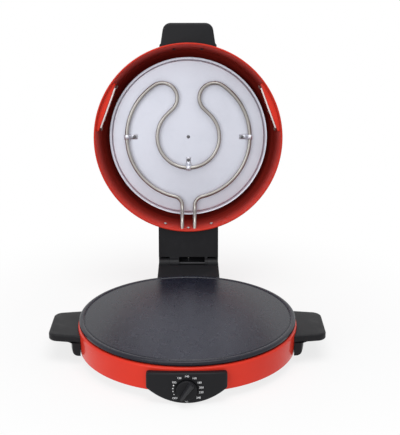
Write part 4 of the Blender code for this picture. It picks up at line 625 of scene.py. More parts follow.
class Forge:
    """Turns profiles, loops and outlines into meshes."""

    LETTER_WEIGHT = 0.012
    LETTER_STEPS = 3
    ON_AXIS = 1e-6

    @staticmethod
    def turned(profile: Sequence[Point2], segments: int) -> BMesh:
        """Turns a profile of (radius, height) about Z. It runs down the outer side.

        Args:
            profile: the points.
            segments: the facets of a full turn.

        Returns:
            The mesh.
        """
        bm = bmesh.new()
        rings = []
        for radius, height in profile:
            count = 1 if radius < Forge.ON_AXIS else segments
            turns = [math.tau * index / segments for index in range(count)]
            rings.append([bm.verts.new((radius * math.cos(t), radius * math.sin(t), height)) for t in turns])
        for upper, lower in zip(rings, rings[1:]):
            for index in range(segments):
                after = (index + 1) % segments
                corners = [upper[index % len(upper)], lower[index % len(lower)]]
                corners += [lower[after % len(lower)], upper[after % len(upper)]]
                unlike = list(dict.fromkeys(corners))
                if len(unlike) > 2:
                    bm.faces.new(unlike)
        return bm

    @staticmethod
    def loft(loops: Sequence[Sequence[Vector]], capped: bool = True) -> BMesh:
        """Joins loops of equal counts.

        Args:
            loops: the loops, in order.
            capped: whether the first and the last are filled.

        Returns:
            The mesh.
        """
        bm = bmesh.new()
        rows = [[bm.verts.new(point) for point in loop] for loop in loops]
        for one, two in zip(rows, rows[1:]):
            for index in range(len(one)):
                after = (index + 1) % len(one)
                bm.faces.new((one[index], one[after], two[after], two[index]))
        for cap in (rows[0], rows[-1]) if capped else ():
            bm.faces.new(cap)
        bmesh.ops.recalc_face_normals(bm, faces=bm.faces)
        return bm

    @staticmethod
    def ribbon(path: Sequence[Point2], width: float) -> BMesh:
        """A strip whose side view, in X and Z, is a path.

        Args:
            path: the side view's points.
            width: the strip's width, along Y.

        Returns:
            The mesh.
        """
        bm = bmesh.new()
        rows = [[bm.verts.new((x, side * width / 2, z)) for x, z in path] for side in (-1, 1)]
        for index in range(len(path) - 1):
            bm.faces.new((rows[0][index], rows[0][index + 1], rows[1][index + 1], rows[1][index]))
        return bm

    @staticmethod
    def slab(low: Point3, high: Point3, edge: float = 0.0, segments: int = 2) -> BMesh:
        """A block with rounded edges.

        Args:
            low: its lowest corner.
            high: its highest corner.
            edge: its edges' width.
            segments: the pieces of each edge.

        Returns:
            The mesh.
        """
        bm = bmesh.new()
        bmesh.ops.create_cube(bm, size=1)
        size = Vector(high) - Vector(low)
        middle = (Vector(high) + Vector(low)) / 2
        for vert in bm.verts:
            vert.co = Vector([c * s for c, s in zip(vert.co, size)]) + middle
        if edge > 0:
            bmesh.ops.bevel(bm, geom=bm.edges, offset=edge, segments=segments, profile=0.5, affect="EDGES")
        return bm

    @staticmethod
    def prism(outline: Sequence[Point2], low: float, high: float) -> BMesh:
        """An outline in X and Y, drawn along Z from low to high."""
        return Forge.loft([[Vector((x, y, z)) for x, y in outline] for z in (low, high)])

    @staticmethod
    def text(words: str, height: float) -> BMesh:
        """Words as flat faces, centred on the origin.

        Args:
            words: what they say.
            height: how tall a capital is.

        Returns:
            The mesh.
        """
        curve = bpy.data.curves.new("words", "FONT")
        curve.body = words
        curve.align_x = "CENTER"
        curve.resolution_u = Forge.LETTER_STEPS
        curve.offset = Forge.LETTER_WEIGHT
        obj = in_scene("words", curve)
        bpy.context.view_layer.update()
        mesh = bpy.data.meshes.new_from_object(obj.evaluated_get(bpy.context.evaluated_depsgraph_get()))
        bm = bmesh.new()
        bm.from_mesh(mesh)
        bpy.data.objects.remove(obj)
        bpy.data.curves.remove(curve)
        bpy.data.meshes.remove(mesh)
        highs = [vert.co.y for vert in bm.verts]
        scale = height / (max(highs) - min(highs))
        middle = (max(highs) + min(highs)) / 2
        for vert in bm.verts:
            vert.co = Vector((vert.co.x * scale, (vert.co.y - middle) * scale, 0))
        return bm


class Shop:
    """Makes objects from meshes, dresses them and puts them on their bodies."""

    def __init__(self) -> None:
        """Makes the finishes."""
        self.materials = {slot: finish.graph(slot.value).owner for slot, finish in FINISHES.items()}
        self.extra: dict[str, Material] = {}

    def special(self, name: str, finish: Finish) -> Material:
        """A finish that no slot has, made once.

        Args:
            name: its name.
            finish: its recipe.

        Returns:
            The material.
        """
        if name not in self.extra:
            self.extra[name] = finish.graph(name).owner
        return self.extra[name]

    def add(
        self,
        name: str,
        data: Union[BMesh, bpy.types.Curve],
        body: Body,
        slot: Slot,
        place: Matrix,
        stands_for: Iterable[str] = (),
        sharp: float = SHEET_SHARP,
        materials: Optional[Sequence[Material]] = None,
    ) -> Object:
        """Makes one piece.

        Args:
            name: the piece's name.
            data: its curve, or its mesh, which is used up.
            body: the body that it rides on.
            slot: its material slot.
            place: where it goes.
            stands_for: the CAD nodes that it replaces.
            sharp: the angle past which a mesh's edge is sharp, in degrees.
            materials: its materials, if not the slot's own.

        Returns:
            The object.
        """
        obj = solid(name, data, place)
        if isinstance(data, BMesh):
            smooth(obj.data, sharp)
        for material in materials or [self.materials[slot]]:
            obj.data.materials.append(material)
        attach(obj, body.value)
        nodes = list(stands_for)
        if nodes:
            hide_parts(*nodes)
        LOG.info("%s on %s", obj.name, body.value)
        return obj

    @staticmethod
    def cut(obj: Object, bm: BMesh, place: Matrix, operation: str = "DIFFERENCE") -> None:
        """Applies a Boolean with a mesh.

        Args:
            obj: the object that is changed.
            bm: the cutter's mesh, which is used up.
            place: where the cutter is.
            operation: the Boolean's operation.
        """
        bmesh.ops.recalc_face_normals(bm, faces=bm.faces)
        cutter = solid("cutter", bm, place)
        modifier = obj.modifiers.new("cut", "BOOLEAN")
        modifier.operation = operation
        modifier.object = cutter
        Shop.bake(obj)
        mesh = cutter.data
        bpy.data.objects.remove(cutter)
        bpy.data.meshes.remove(mesh)

    @staticmethod
    def bake(obj: Object) -> None:
        """Puts an object's modifiers into its mesh.

        Args:
            obj: the object.
        """
        bpy.context.view_layer.update()
        graph = bpy.context.evaluated_depsgraph_get()
        mesh = bpy.data.meshes.new_from_object(obj.evaluated_get(graph))
        obj.modifiers.clear()
        old = obj.data
        obj.data = mesh
        bpy.data.meshes.remove(old)
        smooth(mesh, SHEET_SHARP)

    @staticmethod
    def thicken(obj: Object, thickness: float, offset: float = -1) -> None:
        """Gives a sheet its thickness.

        Args:
            obj: the sheet.
            thickness: how thick it becomes.
            offset: -1 grows it away from its normals, 0 both ways.
        """
        modifier = obj.modifiers.new("sheet", "SOLIDIFY")
        modifier.thickness = thickness
        modifier.offset = offset
        modifier.use_even_offset = True

    @staticmethod
    def soften(obj: Object, width: float, segments: int, angle: float) -> None:
        """Rounds an object's sharp edges.

        Args:
            obj: the object.
            width: the rounds' width.
            segments: the pieces of each round.
            angle: the least angle that is rounded, in degrees.
        """
        modifier = obj.modifiers.new("edges", "BEVEL")
        modifier.width = width
        modifier.segments = segments
        modifier.limit_method = "ANGLE"
        modifier.angle_limit = math.radians(angle)
        modifier.harden_normals = True


@dataclass
class Layout:
    """Where the assemblies' own frames lie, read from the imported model."""

    plate_y: float = 0.0
    hinge: Vector = field(default_factory=Vector)
    open_angle: float = 0.0
    hinge_depth: float = 0.0026
    base: Matrix = field(default_factory=Matrix)
    lid: Matrix = field(default_factory=Matrix)
    knob: Matrix = field(default_factory=Matrix)

    @classmethod
    def read(cls) -> "Layout":
        """Reads the joints and the plate's box.

        Returns:
            The layout.
        """
        joints = {joint["name"]: joint for joint in frame["joints"]}
        low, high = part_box("cooking_plate")
        made = cls(plate_y=(low.y + high.y) / 2, hinge=Vector(joints["lid_hinge"]["pos_m"]))
        made.open_angle = math.radians(joints["lid_hinge"]["range_deg"][1])
        made.base = Matrix.Translation((0, made.plate_y, 0))
        turn = Matrix.Rotation(-made.open_angle, 4, "X")
        back = Matrix.Translation((0, made.plate_y - made.hinge.y, -made.hinge_depth))
        made.lid = Matrix.Translation(made.hinge) @ turn @ back
        made.knob = Matrix.Translation(joints["knob_turn"]["pos_m"]) @ Matrix.Rotation(QUARTER, 4, "X")
        return made


# Sub-assemblies


@dataclass
class Handle:
    """A grip on a leg that lies against a round wall. Drawn pointing to +X, with the grip's flat on top."""

    wall_radius: float
    reach: float = 0.0518
    thickness: float = 0.014
    root_half: float = 0.060
    tip_half: float = 0.0505
    corner: float = 0.017
    side_edge: float = 0.0030
    tip_edge: float = 0.0050
    leg: float = 0.0138
    drop: float = 0.0398
    leg_corner: float = 0.0090
    leg_side_corner: float = 0.0022
    leg_least: float = 0.0012
    leg_end_share: float = 0.9
    leg_end_lean: float = math.asin(0.2)
    fillet: float = 0.0030
    wall_steps: int = 40
    corner_steps: int = 10
    face_steps: int = 30
    outer_points: int = 90
    edge_steps: int = 5

    def _wall(self, half: float) -> list[Point2]:
        """The edge against the wall.

        Args:
            half: its half width.

        Returns:
            Points from -half to half.
        """
        radius = self.wall_radius + GAP
        span = math.asin(half / radius)
        return arc((0, 0), radius, -span, span, self.wall_steps)

    def _grip(self, share: float) -> list[Point2]:
        """The grip's outline.

        Args:
            share: how much of its edges' width it is drawn in by.

        Returns:
            A closed loop's points.
        """
        side_inset, tip_inset = self.side_edge * share, self.tip_edge * share
        root, tip = self.root_half - side_inset, self.tip_half - side_inset
        reach = self.wall_radius + self.reach - tip_inset
        wall = self._wall(root)
        corner = self.corner - min(side_inset, tip_inset)
        turns = [(wall[-1][0], root, 0), (reach, tip, corner), (reach, -tip, corner), (wall[0][0], -root, 0)]
        return wall + spread(rounded(turns, self.corner_steps), self.outer_points)[1:-1]

    def _leg(self, thickness: float, side_inset: float) -> list[Point2]:
        """The leg's outline.

        Args:
            thickness: its thickness there.
            side_inset: how far its ends are drawn in.

        Returns:
            A closed loop's points.
        """
        half = self.root_half - side_inset
        wall = self._wall(half)
        outside = self.wall_radius + thickness
        span = math.asin((half - self.leg_side_corner) / outside)
        face = arc((0, 0), outside, span, -span, self.face_steps)
        round_end = min(self.leg_side_corner, thickness * self.leg_end_share)
        ends = []
        for sign, tip in ((1, face[0]), (-1, face[-1])):
            centre = (tip[0] - round_end, sign * (half - round_end))
            ends.append(arc(centre, round_end, sign * QUARTER, sign * self.leg_end_lean, self.edge_steps))
        outer = [(wall[-1][0], half)] + ends[0] + face[1:-1] + list(reversed(ends[1])) + [(wall[0][0], -half)]
        return wall + spread(outer, self.outer_points)[1:-1]

    def mesh(self) -> BMesh:
        """Builds the moulding, from the leg's foot up over the grip's edge.

        Returns:
            The mesh.
        """
        rows: list[tuple[float, list[Point2]]] = []
        for gained, lacked in quarter(self.edge_steps + 1):
            thickness = max(self.leg - self.leg_corner * lacked, self.leg_least)
            rows.append((self.leg_corner * gained - self.drop, self._leg(thickness, self.leg_least * lacked)))
        edge = quarter(self.edge_steps)
        under, leg, fillet = -self.thickness, self.leg, self.fillet
        rows += [(under - fillet * lacked, self._leg(leg + fillet * gained, 0)) for gained, lacked in edge]
        rows += [(under + self.side_edge * gained, self._grip(lacked)) for gained, lacked in edge]
        rows += [(-self.side_edge * lacked, self._grip(gained)) for gained, lacked in edge]
        return Forge.loft([[Vector((x, y, z)) for x, y in outline] for z, outline in rows])


@dataclass
class Foot:
    """A rubber foot with a hollow toe."""

    top: float = 0.0146
    edge: float = 0.0008
    waist: float = 0.0004
    waist_height: float = 0.0045
    toe: float = 0.0022
    toe_start: float = 0.3
    hollow: float = 0.0040
    hollow_depth: float = 0.0035
    hollow_edge: float = 0.0002
    hollow_flare: float = 0.0010
    segments: int = 40

    def mesh(self, radius: float) -> BMesh:
        """Builds it.

        Args:
            radius: its radius at the top.

        Returns:
            The mesh.
        """
        top, edge, hollow = self.top, self.edge, self.hollow
        waist = radius - self.waist
        profile = [(0, top), (radius - edge, top), (radius, top - edge), (waist, self.waist_height)]
        profile += arc((waist - self.toe, self.toe), self.toe, self.toe_start, -QUARTER, 5)
        profile += [(hollow + self.hollow_flare, 0), (hollow + self.hollow_edge, edge)]
        profile += [(hollow, self.hollow_depth), (0, self.hollow_depth)]
        return Forge.turned(profile, self.segments)


@dataclass
class Base:
    """The base: shell, plate, feet and side handles."""

    shop: Shop
    layout: Layout
    body_radius: float = 0.205
    body_top: float = 0.0630
    body_bottom: float = 0.0160
    draft: float = 0.0015
    lip: float = 0.0045
    ledge: float = 0.005
    flange: float = 0.012
    flange_round: float = 0.0016
    sheet: float = 0.001
    segments: int = 216
    plate_radius: float = 0.2027
    plate_rings: tuple[float, ...] = (0.0, 0.06, 0.12, 0.17)
    rim_thickness: float = 0.0095
    rim_lift: float = 0.0032
    rim_overhang: float = 0.0042
    rim_round: float = 0.0008
    skirt_depth: float = 0.0025
    skirt_width: float = 0.004
    skirt_clearance: float = 0.0008
    plate_thickness: float = 0.008
    bead_rise: float = 0.0006
    bead_width: float = 0.0078
    bead_crown: float = 0.0044
    bead_power: float = 2.6
    groove_width: float = 0.0034
    groove_depth: float = 0.0013
    groove_power: float = 1.5
    tube_radius: float = 0.004
    round_steps: int = 12
    channel_steps: int = 10
    boss_radius: float = 0.010
    boss_height: float = 0.014
    stud_bore: float = 0.0033
    grip_below_lip: float = 0.0078

    def build(self) -> None:
        """Builds and dresses the base."""
        self._shell()
        self._plate()
        self._feet()
        self._handles()

    def _shell(self) -> None:
        """The red band, with its rolled lip."""
        radius = self.body_radius
        lip = radius - self.lip
        foot = radius - self.draft
        high, low = self.body_top - self.lip, self.body_bottom + self.flange_round
        profile = [(lip - self.ledge, self.body_top)] + arc((lip, high), self.lip, QUARTER, 0, 8)
        profile += [(radius - self.draft * share, high + (low - high) * share) for share in shares(4)[:-1]]
        profile += arc((foot - self.flange_round, low), self.flange_round, 0, -QUARTER, 5)
        profile += [(foot - self.flange, self.body_bottom)]
        bm = Forge.turned(profile, self.segments)
        obj = self.shop.add("base_band", bm, Body.BASE, Slot.RED_PAINT, self.layout.base, ["base_shell"])
        self.shop.thicken(obj, self.sheet)

    def _plate(self) -> None:
        """The hot plate: groove and bead on top, with rim, seat, skirt, channel and boss below them."""
        seat = self.body_top + GAP
        bead_top = seat + self.rim_thickness
        rim_low = seat + self.rim_lift
        top = bead_top - self.bead_rise
        outer = self.plate_radius
        crown = outer - self.bead_crown
        inner = outer - self.bead_width
        middle = (bead_top + rim_low) / 2
        under = top - self.plate_thickness
        foot = under - self.boss_height
        edge = outer - self.rim_overhang
        skirt = self.body_radius - self.lip - self.ledge - self.skirt_clearance
        low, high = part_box("lower_element")
        ring = (high.x - low.x) / 2 - self.tube_radius
        profile: list[Point2] = [(radius, top) for radius in (*self.plate_rings, inner - self.groove_width)]
        for share in shares(8)[:-1]:
            dip = self.groove_depth * math.sin(math.pi * share) ** self.groove_power
            profile.append((inner - self.groove_width * (1 - share), top - dip))
        for share in [0.0] + shares(8):
            rise = self.bead_rise * math.sin(QUARTER * share)
            profile.append((inner + (crown - inner) * share, top + rise))
        for share in shares(self.round_steps):
            fall = (bead_top - middle) * (1 - math.sqrt(max(0.0, 1 - share**self.bead_power)))
            profile.append((crown + (outer - crown) * share, bead_top - fall))
        profile += arc((outer - self.rim_round, rim_low + self.rim_round), self.rim_round, 0, -QUARTER, 4)
        profile += [(edge, rim_low), (edge, seat), (skirt, seat), (skirt, seat - self.skirt_depth)]
        profile += [(skirt - self.skirt_width, seat - self.skirt_depth), (skirt - self.skirt_width, under)]
        profile += arc((ring, under), self.tube_radius + GAP, 0, math.pi, self.channel_steps)
        profile += [(self.boss_radius, under), (self.boss_radius, foot), (self.stud_bore, foot)]
        profile += [(self.stud_bore, under - GAP), (0, under - GAP)]
        bm = Forge.turned(profile, self.segments)
        self.shop.add("hot_plate", bm, Body.BASE, Slot.NONSTICK, self.layout.base, ["cooking_plate"])

    def _feet(self) -> None:
        """Four rubber feet."""
        for name in ("foot_front_left", "foot_front_right", "foot_rear_left", "foot_rear_right"):
            low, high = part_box(name)
            bm = Foot().mesh((high.x - low.x) / 2)
            place = Matrix.Translation(((low.x + high.x) / 2, (low.y + high.y) / 2, 0))
            self.shop.add(f"{name}_pad", bm, Body.BASE, Slot.FOOT_RUBBER, place, [name])

    def _handles(self) -> None:
        """The two side handles."""
        flat = self.layout.base @ Matrix.Translation((0, 0, self.body_top - self.grip_below_lip))
        for name, turn in (("right_handle", 0.0), ("left_handle", math.pi)):
            place = flat @ Matrix.Rotation(turn, 4, "Z")
            bm = Handle(self.body_radius).mesh()
            self.shop.add(f"{name}_moulding", bm, Body.BASE, Slot.BLACK_PLASTIC, place, [name], PLASTIC_SHARP)


@dataclass
class Panel:
    """The control panel: its moulding, the printed dial and the knob."""

    shop: Shop
    layout: Layout
    wall_radius: float = 0.205
    face_radius: float = 0.216
    half_width: float = 0.0693
    top: float = 0.0582
    top_bow: float = 0.0035
    corner: float = 0.006
    least_corner: float = 0.001
    side_end: float = 0.0257
    lowest: float = 0.002
    edge: float = 0.0026
    wall: float = 0.0026
    outline_points: int = 73
    crown_steps: int = 12
    bow_steps: int = 24
    dish_steps: int = 10
    dial_height: float = 0.028
    recess_radius: float = 0.0192
    recess_depth: float = 0.0012
    recess_rings: tuple[Point2, ...] = ((0.0004, 0.5), (0.0006, 0.9), (0.001, 1), (0.008, 1), (0.0136, 1))
    ink: Dull = Dull((0.88, 0.88, 0.89), (0.78, 0.78, 0.80), grain=900, depth=0.00003)
    ink_lift: float = 0.00012
    mark_radius: float = 0.0252
    mark_angles: tuple[float, ...] = (-57.5, -29.4, 1, 31.5, 58.8, 81.8, 102, 127)
    first_mark: int = 100
    mark_step: int = 20
    digit_height: float = 0.0037
    off_mark_angle: float = -129
    off_mark_radius: float = 0.0256
    off_height: float = 0.0036
    unit_angle: float = 180
    unit_radius: float = 0.0226
    unit_height: float = 0.0038
    dash_start: float = -113
    dash_step: float = 14
    dash_radius: float = 0.0234
    dash_half_length: float = 0.0011
    dash_half_width: float = 0.0005
    dash_growth: float = 0.0002
    # Ridge finish: glossier than the disc, and lighter, a painted highlight.
    ridge_gloss_and_highlight: Moulding = Moulding((0.0150, 0.0150, 0.0180), (0.0260, 0.0260, 0.0300), 0.36, gloss=0.45)
    off_angle: float = math.radians(145)
    knob_radius: float = 0.0177
    knob_disc: float = 0.005
    knob_depth: float = 0.015
    knob_flat_share: float = 0.6
    knob_edge: float = 0.0014
    knob_edge_start: float = 0.0022
    knob_foot: float = 0.0004
    knob_segments: int = 96
    knob_softness: float = 0.0006
    knob_soft_angle: float = 25
    ridge_width: float = 0.0105
    ridge_tail: float = 1.15
    ridge_tip: float = 0.42
    ridge_foot: float = 0.0012
    ridge_inset: float = 0.0012
    ridge_overrun: float = 0.002
    crest_width: float = 0.0062
    crest_slope: Point2 = (0.0006, 0.0020)
    crest_inset: float = 0.0008
    rod_overrun: float = 0.01

    def build(self) -> None:
        """Builds and dresses the panel."""
        self._moulding()
        self._marks()
        self._knob()

    def _outline(self, inset: float) -> list[Point2]:
        """The front view, drawn in by an even amount.

        Args:
            inset: how far it is drawn in.

        Returns:
            X and Z of each point, clockwise from the top's middle.
        """
        top = self.top - inset
        side = self.half_width - inset
        sag = self.side_end - self.lowest
        bow = (self.half_width**2 + sag**2) / (2 * sag) - inset
        centre = self.lowest + inset + bow
        start = math.asin(side / bow)
        corner = max(self.corner - inset, self.least_corner)
        run = self.half_width - self.corner
        crown = (run**2 + self.top_bow**2) / (2 * self.top_bow) - inset
        turn = math.asin((side - corner) / crown)
        shoulder = top - crown * (1 - math.cos(turn))
        crowned = [turn * step / self.crown_steps for step in range(self.crown_steps)]
        bowed = [start * step / self.bow_steps for step in range(self.bow_steps, -1, -1)]
        half: list[Point2] = [(crown * math.sin(a), top - crown * (1 - math.cos(a))) for a in crowned]
        half += arc((side - corner, shoulder - corner), corner, QUARTER, 0, 8)
        half += [(bow * math.sin(a), centre - bow * math.cos(a)) for a in bowed]
        half = spread(half, self.outline_points)
        return half + [(-x, z) for x, z in reversed(half[1:-1])]

    def _on_face(self, x: float, z: float, radius: float) -> Vector:
        """A point of the front view on a cylinder about the plate's axis."""
        return Vector((x, -math.sqrt(radius**2 - x**2), z))

    def _moulding(self) -> None:
        """The moulded shell, dished round the dial."""
        loops = []
        outline = self._outline(0)
        back = self.wall_radius + GAP
        for share in (0.0, 0.5, 1.0):
            radius = back + (self.face_radius - self.edge - self.wall_radius - GAP) * share
            loops.append([self._on_face(x, z, radius) for x, z in outline])
        for gained, lacked in quarter(6)[1:]:
            radius = self.face_radius - self.edge * lacked
            loops.append([self._on_face(x, z, radius) for x, z in self._outline(self.edge * gained)])
        inner = self._outline(self.edge)
        turns = [math.atan2(z - self.dial_height, x) for x, z in inner]
        circle = [(math.cos(turn), math.sin(turn)) for turn in turns]
        for share in shares(self.dish_steps):
            ring = []
            for (x, z), (cosine, sine) in zip(inner, circle):
                cx, cz = cosine * self.recess_radius, self.dial_height + sine * self.recess_radius
                ring.append(self._on_face(x + (cx - x) * share, z + (cz - z) * share, self.face_radius))
            loops.append(ring)
        floor = self.recess_depth - self.face_radius
        for inset, share in self.recess_rings:
            radius = self.recess_radius - inset
            ring = []
            for cosine, sine in circle:
                point = self._on_face(cosine * radius, self.dial_height + sine * radius, self.face_radius)
                point.y += (floor - point.y) * share
                ring.append(point)
            loops.append(ring)
        bm = Forge.loft(loops, False)
        nodes = ["control_panel"]
        place = self.layout.base
        obj = self.shop.add("panel_moulding", bm, Body.BASE, Slot.BLACK_PLASTIC, place, nodes, PLASTIC_SHARP)
        self.shop.thicken(obj, self.wall)

    def _print(self, name: str, bm: BMesh) -> None:
        """Adds a printed mark.

        Args:
            name: the piece's name.
            bm: its mesh, whose X and Y are those of the front view.
        """
        for vert in bm.verts:
            vert.co = self._on_face(vert.co.x, vert.co.y, self.face_radius + self.ink_lift)
        ink = self.shop.special("dial_ink", self.ink)
        self.shop.add(name, bm, Body.BASE, Slot.BLACK_PLASTIC, self.layout.base, materials=[ink])

    def _at_dial(self, angle: float, radius: float) -> Point2:
        """A place in the front view, by its angle clockwise from the top and its distance from the knob."""
        return radius * math.sin(angle), self.dial_height + radius * math.cos(angle)

    def _marks(self) -> None:
        """The temperatures, OFF, the unit and the rising dashes."""
        labels = [("off", "OFF", self.off_mark_angle, self.off_height, self.off_mark_radius)]
        for index, angle in enumerate(self.mark_angles):
            words = str(self.first_mark + self.mark_step * index)
            labels.append((words, words, angle, self.digit_height, self.mark_radius))
        labels.append(("unit", "°C", self.unit_angle, self.unit_height, self.unit_radius))
        for name, words, angle, height, radius in labels:
            bm = Forge.text(words, height)
            across, up = self._at_dial(math.radians(angle), radius)
            bmesh.ops.translate(bm, vec=(across, up, 0), verts=bm.verts)
            self._print(f"mark_{name}", bm)
        for index in range(4):
            angle = math.radians(self.dash_start + self.dash_step * index)
            half = self.dash_half_width + self.dash_growth * index
            turn = self.dash_half_length / self.mark_radius
            bm = bmesh.new()
            corners = []
            for side, along in ((-1, -1), (1, -1), (1, 1), (-1, 1)):
                x, z = self._at_dial(angle + along * turn, self.dash_radius + side * half)
                corners.append(bm.verts.new((x, z, 0)))
            bm.faces.new(corners)
            self._print(f"mark_dash_{index + 1}", bm)

    def _ridge(self) -> BMesh:
        """The knob's ridge, tapered to its tip and trimmed to the disc's edge.

        Returns:
            The mesh.
        """
        radius, depth = self.knob_radius, self.knob_depth
        foot, crest = self.ridge_width / 2, self.crest_width / 2
        out, down = self.crest_slope
        section = [(foot, self.ridge_foot), (foot, self.knob_disc)]
        section += [(crest + out, depth - down), (crest - self.crest_inset, depth)]
        end = radius + self.ridge_overrun
        bm = Forge.prism(section + [(-x, z) for x, z in reversed(section)], -end, end)
        bmesh.ops.transform(bm, matrix=Matrix.Rotation(QUARTER, 4, "X"), verts=bm.verts)
        for vert in bm.verts:
            vert.co.x *= self.ridge_tail + (self.ridge_tip - self.ridge_tail) * (vert.co.y / radius + 1) / 2
        bmesh.ops.recalc_face_normals(bm, faces=bm.faces)
        holder = solid("ridge", bm, Matrix.Identity(4))
        trim, high = radius - self.ridge_inset, depth + self.rod_overrun
        rod = [(0, high), (trim, high), (trim, -self.rod_overrun), (0, -self.rod_overrun)]
        self.shop.cut(holder, Forge.turned(rod, self.knob_segments), Matrix.Identity(4), "INTERSECT")
        return melted(holder)

    def _knob(self) -> None:
        """A disc with a ridge to turn it by, whose narrow end points to OFF."""
        place = self.layout.knob @ Matrix.Rotation(self.off_angle, 4, "Z")
        radius, disc, edge = self.knob_radius, self.knob_disc, self.knob_edge
        profile = [(0, disc), (radius * self.knob_flat_share, disc), (radius - self.knob_edge_start, disc)]
        profile += arc((radius - edge, disc - edge), edge, QUARTER, 0, 6)
        profile += [(radius, self.knob_foot), (radius - self.knob_foot, 0), (0, 0)]
        bm = Forge.turned(profile, self.knob_segments)
        knob = self.shop.add("knob", bm, Body.KNOB, Slot.BLACK_PLASTIC, place, ["control_knob"])
        self.shop.cut(knob, self._ridge(), knob.matrix_world.copy(), "UNION")
        # The ridge takes the lighter, glossier finish: its lighter colour is a painted highlight.
        knob.data.materials.append(self.shop.special("ridge_plastic_painted_highlight", self.ridge_gloss_and_highlight))
        for face in knob.data.polygons:
            face.material_index = 1 if face.center.z > disc + GAP else 0
        self.shop.soften(knob, self.knob_softness, 3, self.knob_soft_angle)


@dataclass
class Hinge:
    """The bracket on the base and the arm on the lid: the CAD mouldings, with their edges rounded."""

    shop: Shop
    edge: float = 0.0009
    edge_segments: int = 3
    edge_angle: float = 30
    weld: float = 0.00002
    flat_angle: float = 1

    def build(self) -> None:
        """Builds and dresses the hinge."""
        for node, name, body in (
            ("hinge_bracket", "bracket_moulding", Body.BASE),
            ("lid_arm", "arm_moulding", Body.LID),
        ):
            bm = bmesh.new()
            bm.from_mesh(frame["nodes"][node].data)
            bmesh.ops.remove_doubles(bm, verts=bm.verts, dist=self.weld)
            flat = math.radians(self.flat_angle)
            bmesh.ops.dissolve_limit(bm, angle_limit=flat, verts=bm.verts, edges=bm.edges)
            obj = self.shop.add(name, bm, body, Slot.BLACK_PLASTIC, Matrix.Identity(4), [node], PLASTIC_SHARP)
            self.shop.soften(obj, self.edge, self.edge_segments, self.edge_angle)


@dataclass(frozen=True)
class Fastener:
    """A pan-headed screw with a cross slot, or a rivet where there is no slot."""

    head_radius: float = 0.0036
    head_height: float = 0.0018
    shank_radius: float = 0.0019
    shank: float = 0.005
    slotted: bool = True
    slot_width: float = 0.0010
    slot_share: float = 0.55
    slot_depth_share: float = 0.62
    rim: float = 0.0004
    dome_share: float = 0.92
    dome_steps: int = 7
    segments: int = 28
    sharp: float = 30

    def mesh(self) -> BMesh:
        """Builds it with its head's underside at the origin and its shank along +Z.

        Returns:
            The mesh.
        """
        top = -self.head_height
        shank = self.shank_radius
        profile = [(0, self.shank), (shank, self.shank), (shank, 0), (self.head_radius, 0)]
        for step in range(self.dome_steps):
            turn = QUARTER * step / self.dome_steps
            height = -self.rim + (top + self.rim) * math.sin(turn)
            profile.append((self.head_radius * math.cos(turn * self.dome_share), height))
        return Forge.turned(profile + [(0, top)], self.segments)

    def add(
        self, shop: Shop, node: str, slot: Slot, place: Matrix, material: Optional[Material] = None
    ) -> None:
        """Puts it in place of a node of the lid.

        Args:
            shop: what makes the object.
            node: the CAD node.
            slot: its material slot.
            place: its place, with +Z along the shank.
            material: its material, if not the slot's own.
        """
        materials = [material] if material else None
        obj = shop.add(f"{node}_head", self.mesh(), Body.LID, slot, place, [node], self.sharp, materials)
        if not self.slotted:
            return
        long, short = self.head_radius * self.slot_share, self.slot_width / 2
        floor = self.head_height * self.slot_depth_share - self.head_height
        for x, y in ((long, short), (short, long)):
            slab = Forge.slab((-x, -y, -self.head_height - OVERRUN), (x, y, floor))
            shop.cut(obj, slab, obj.matrix_world.copy())


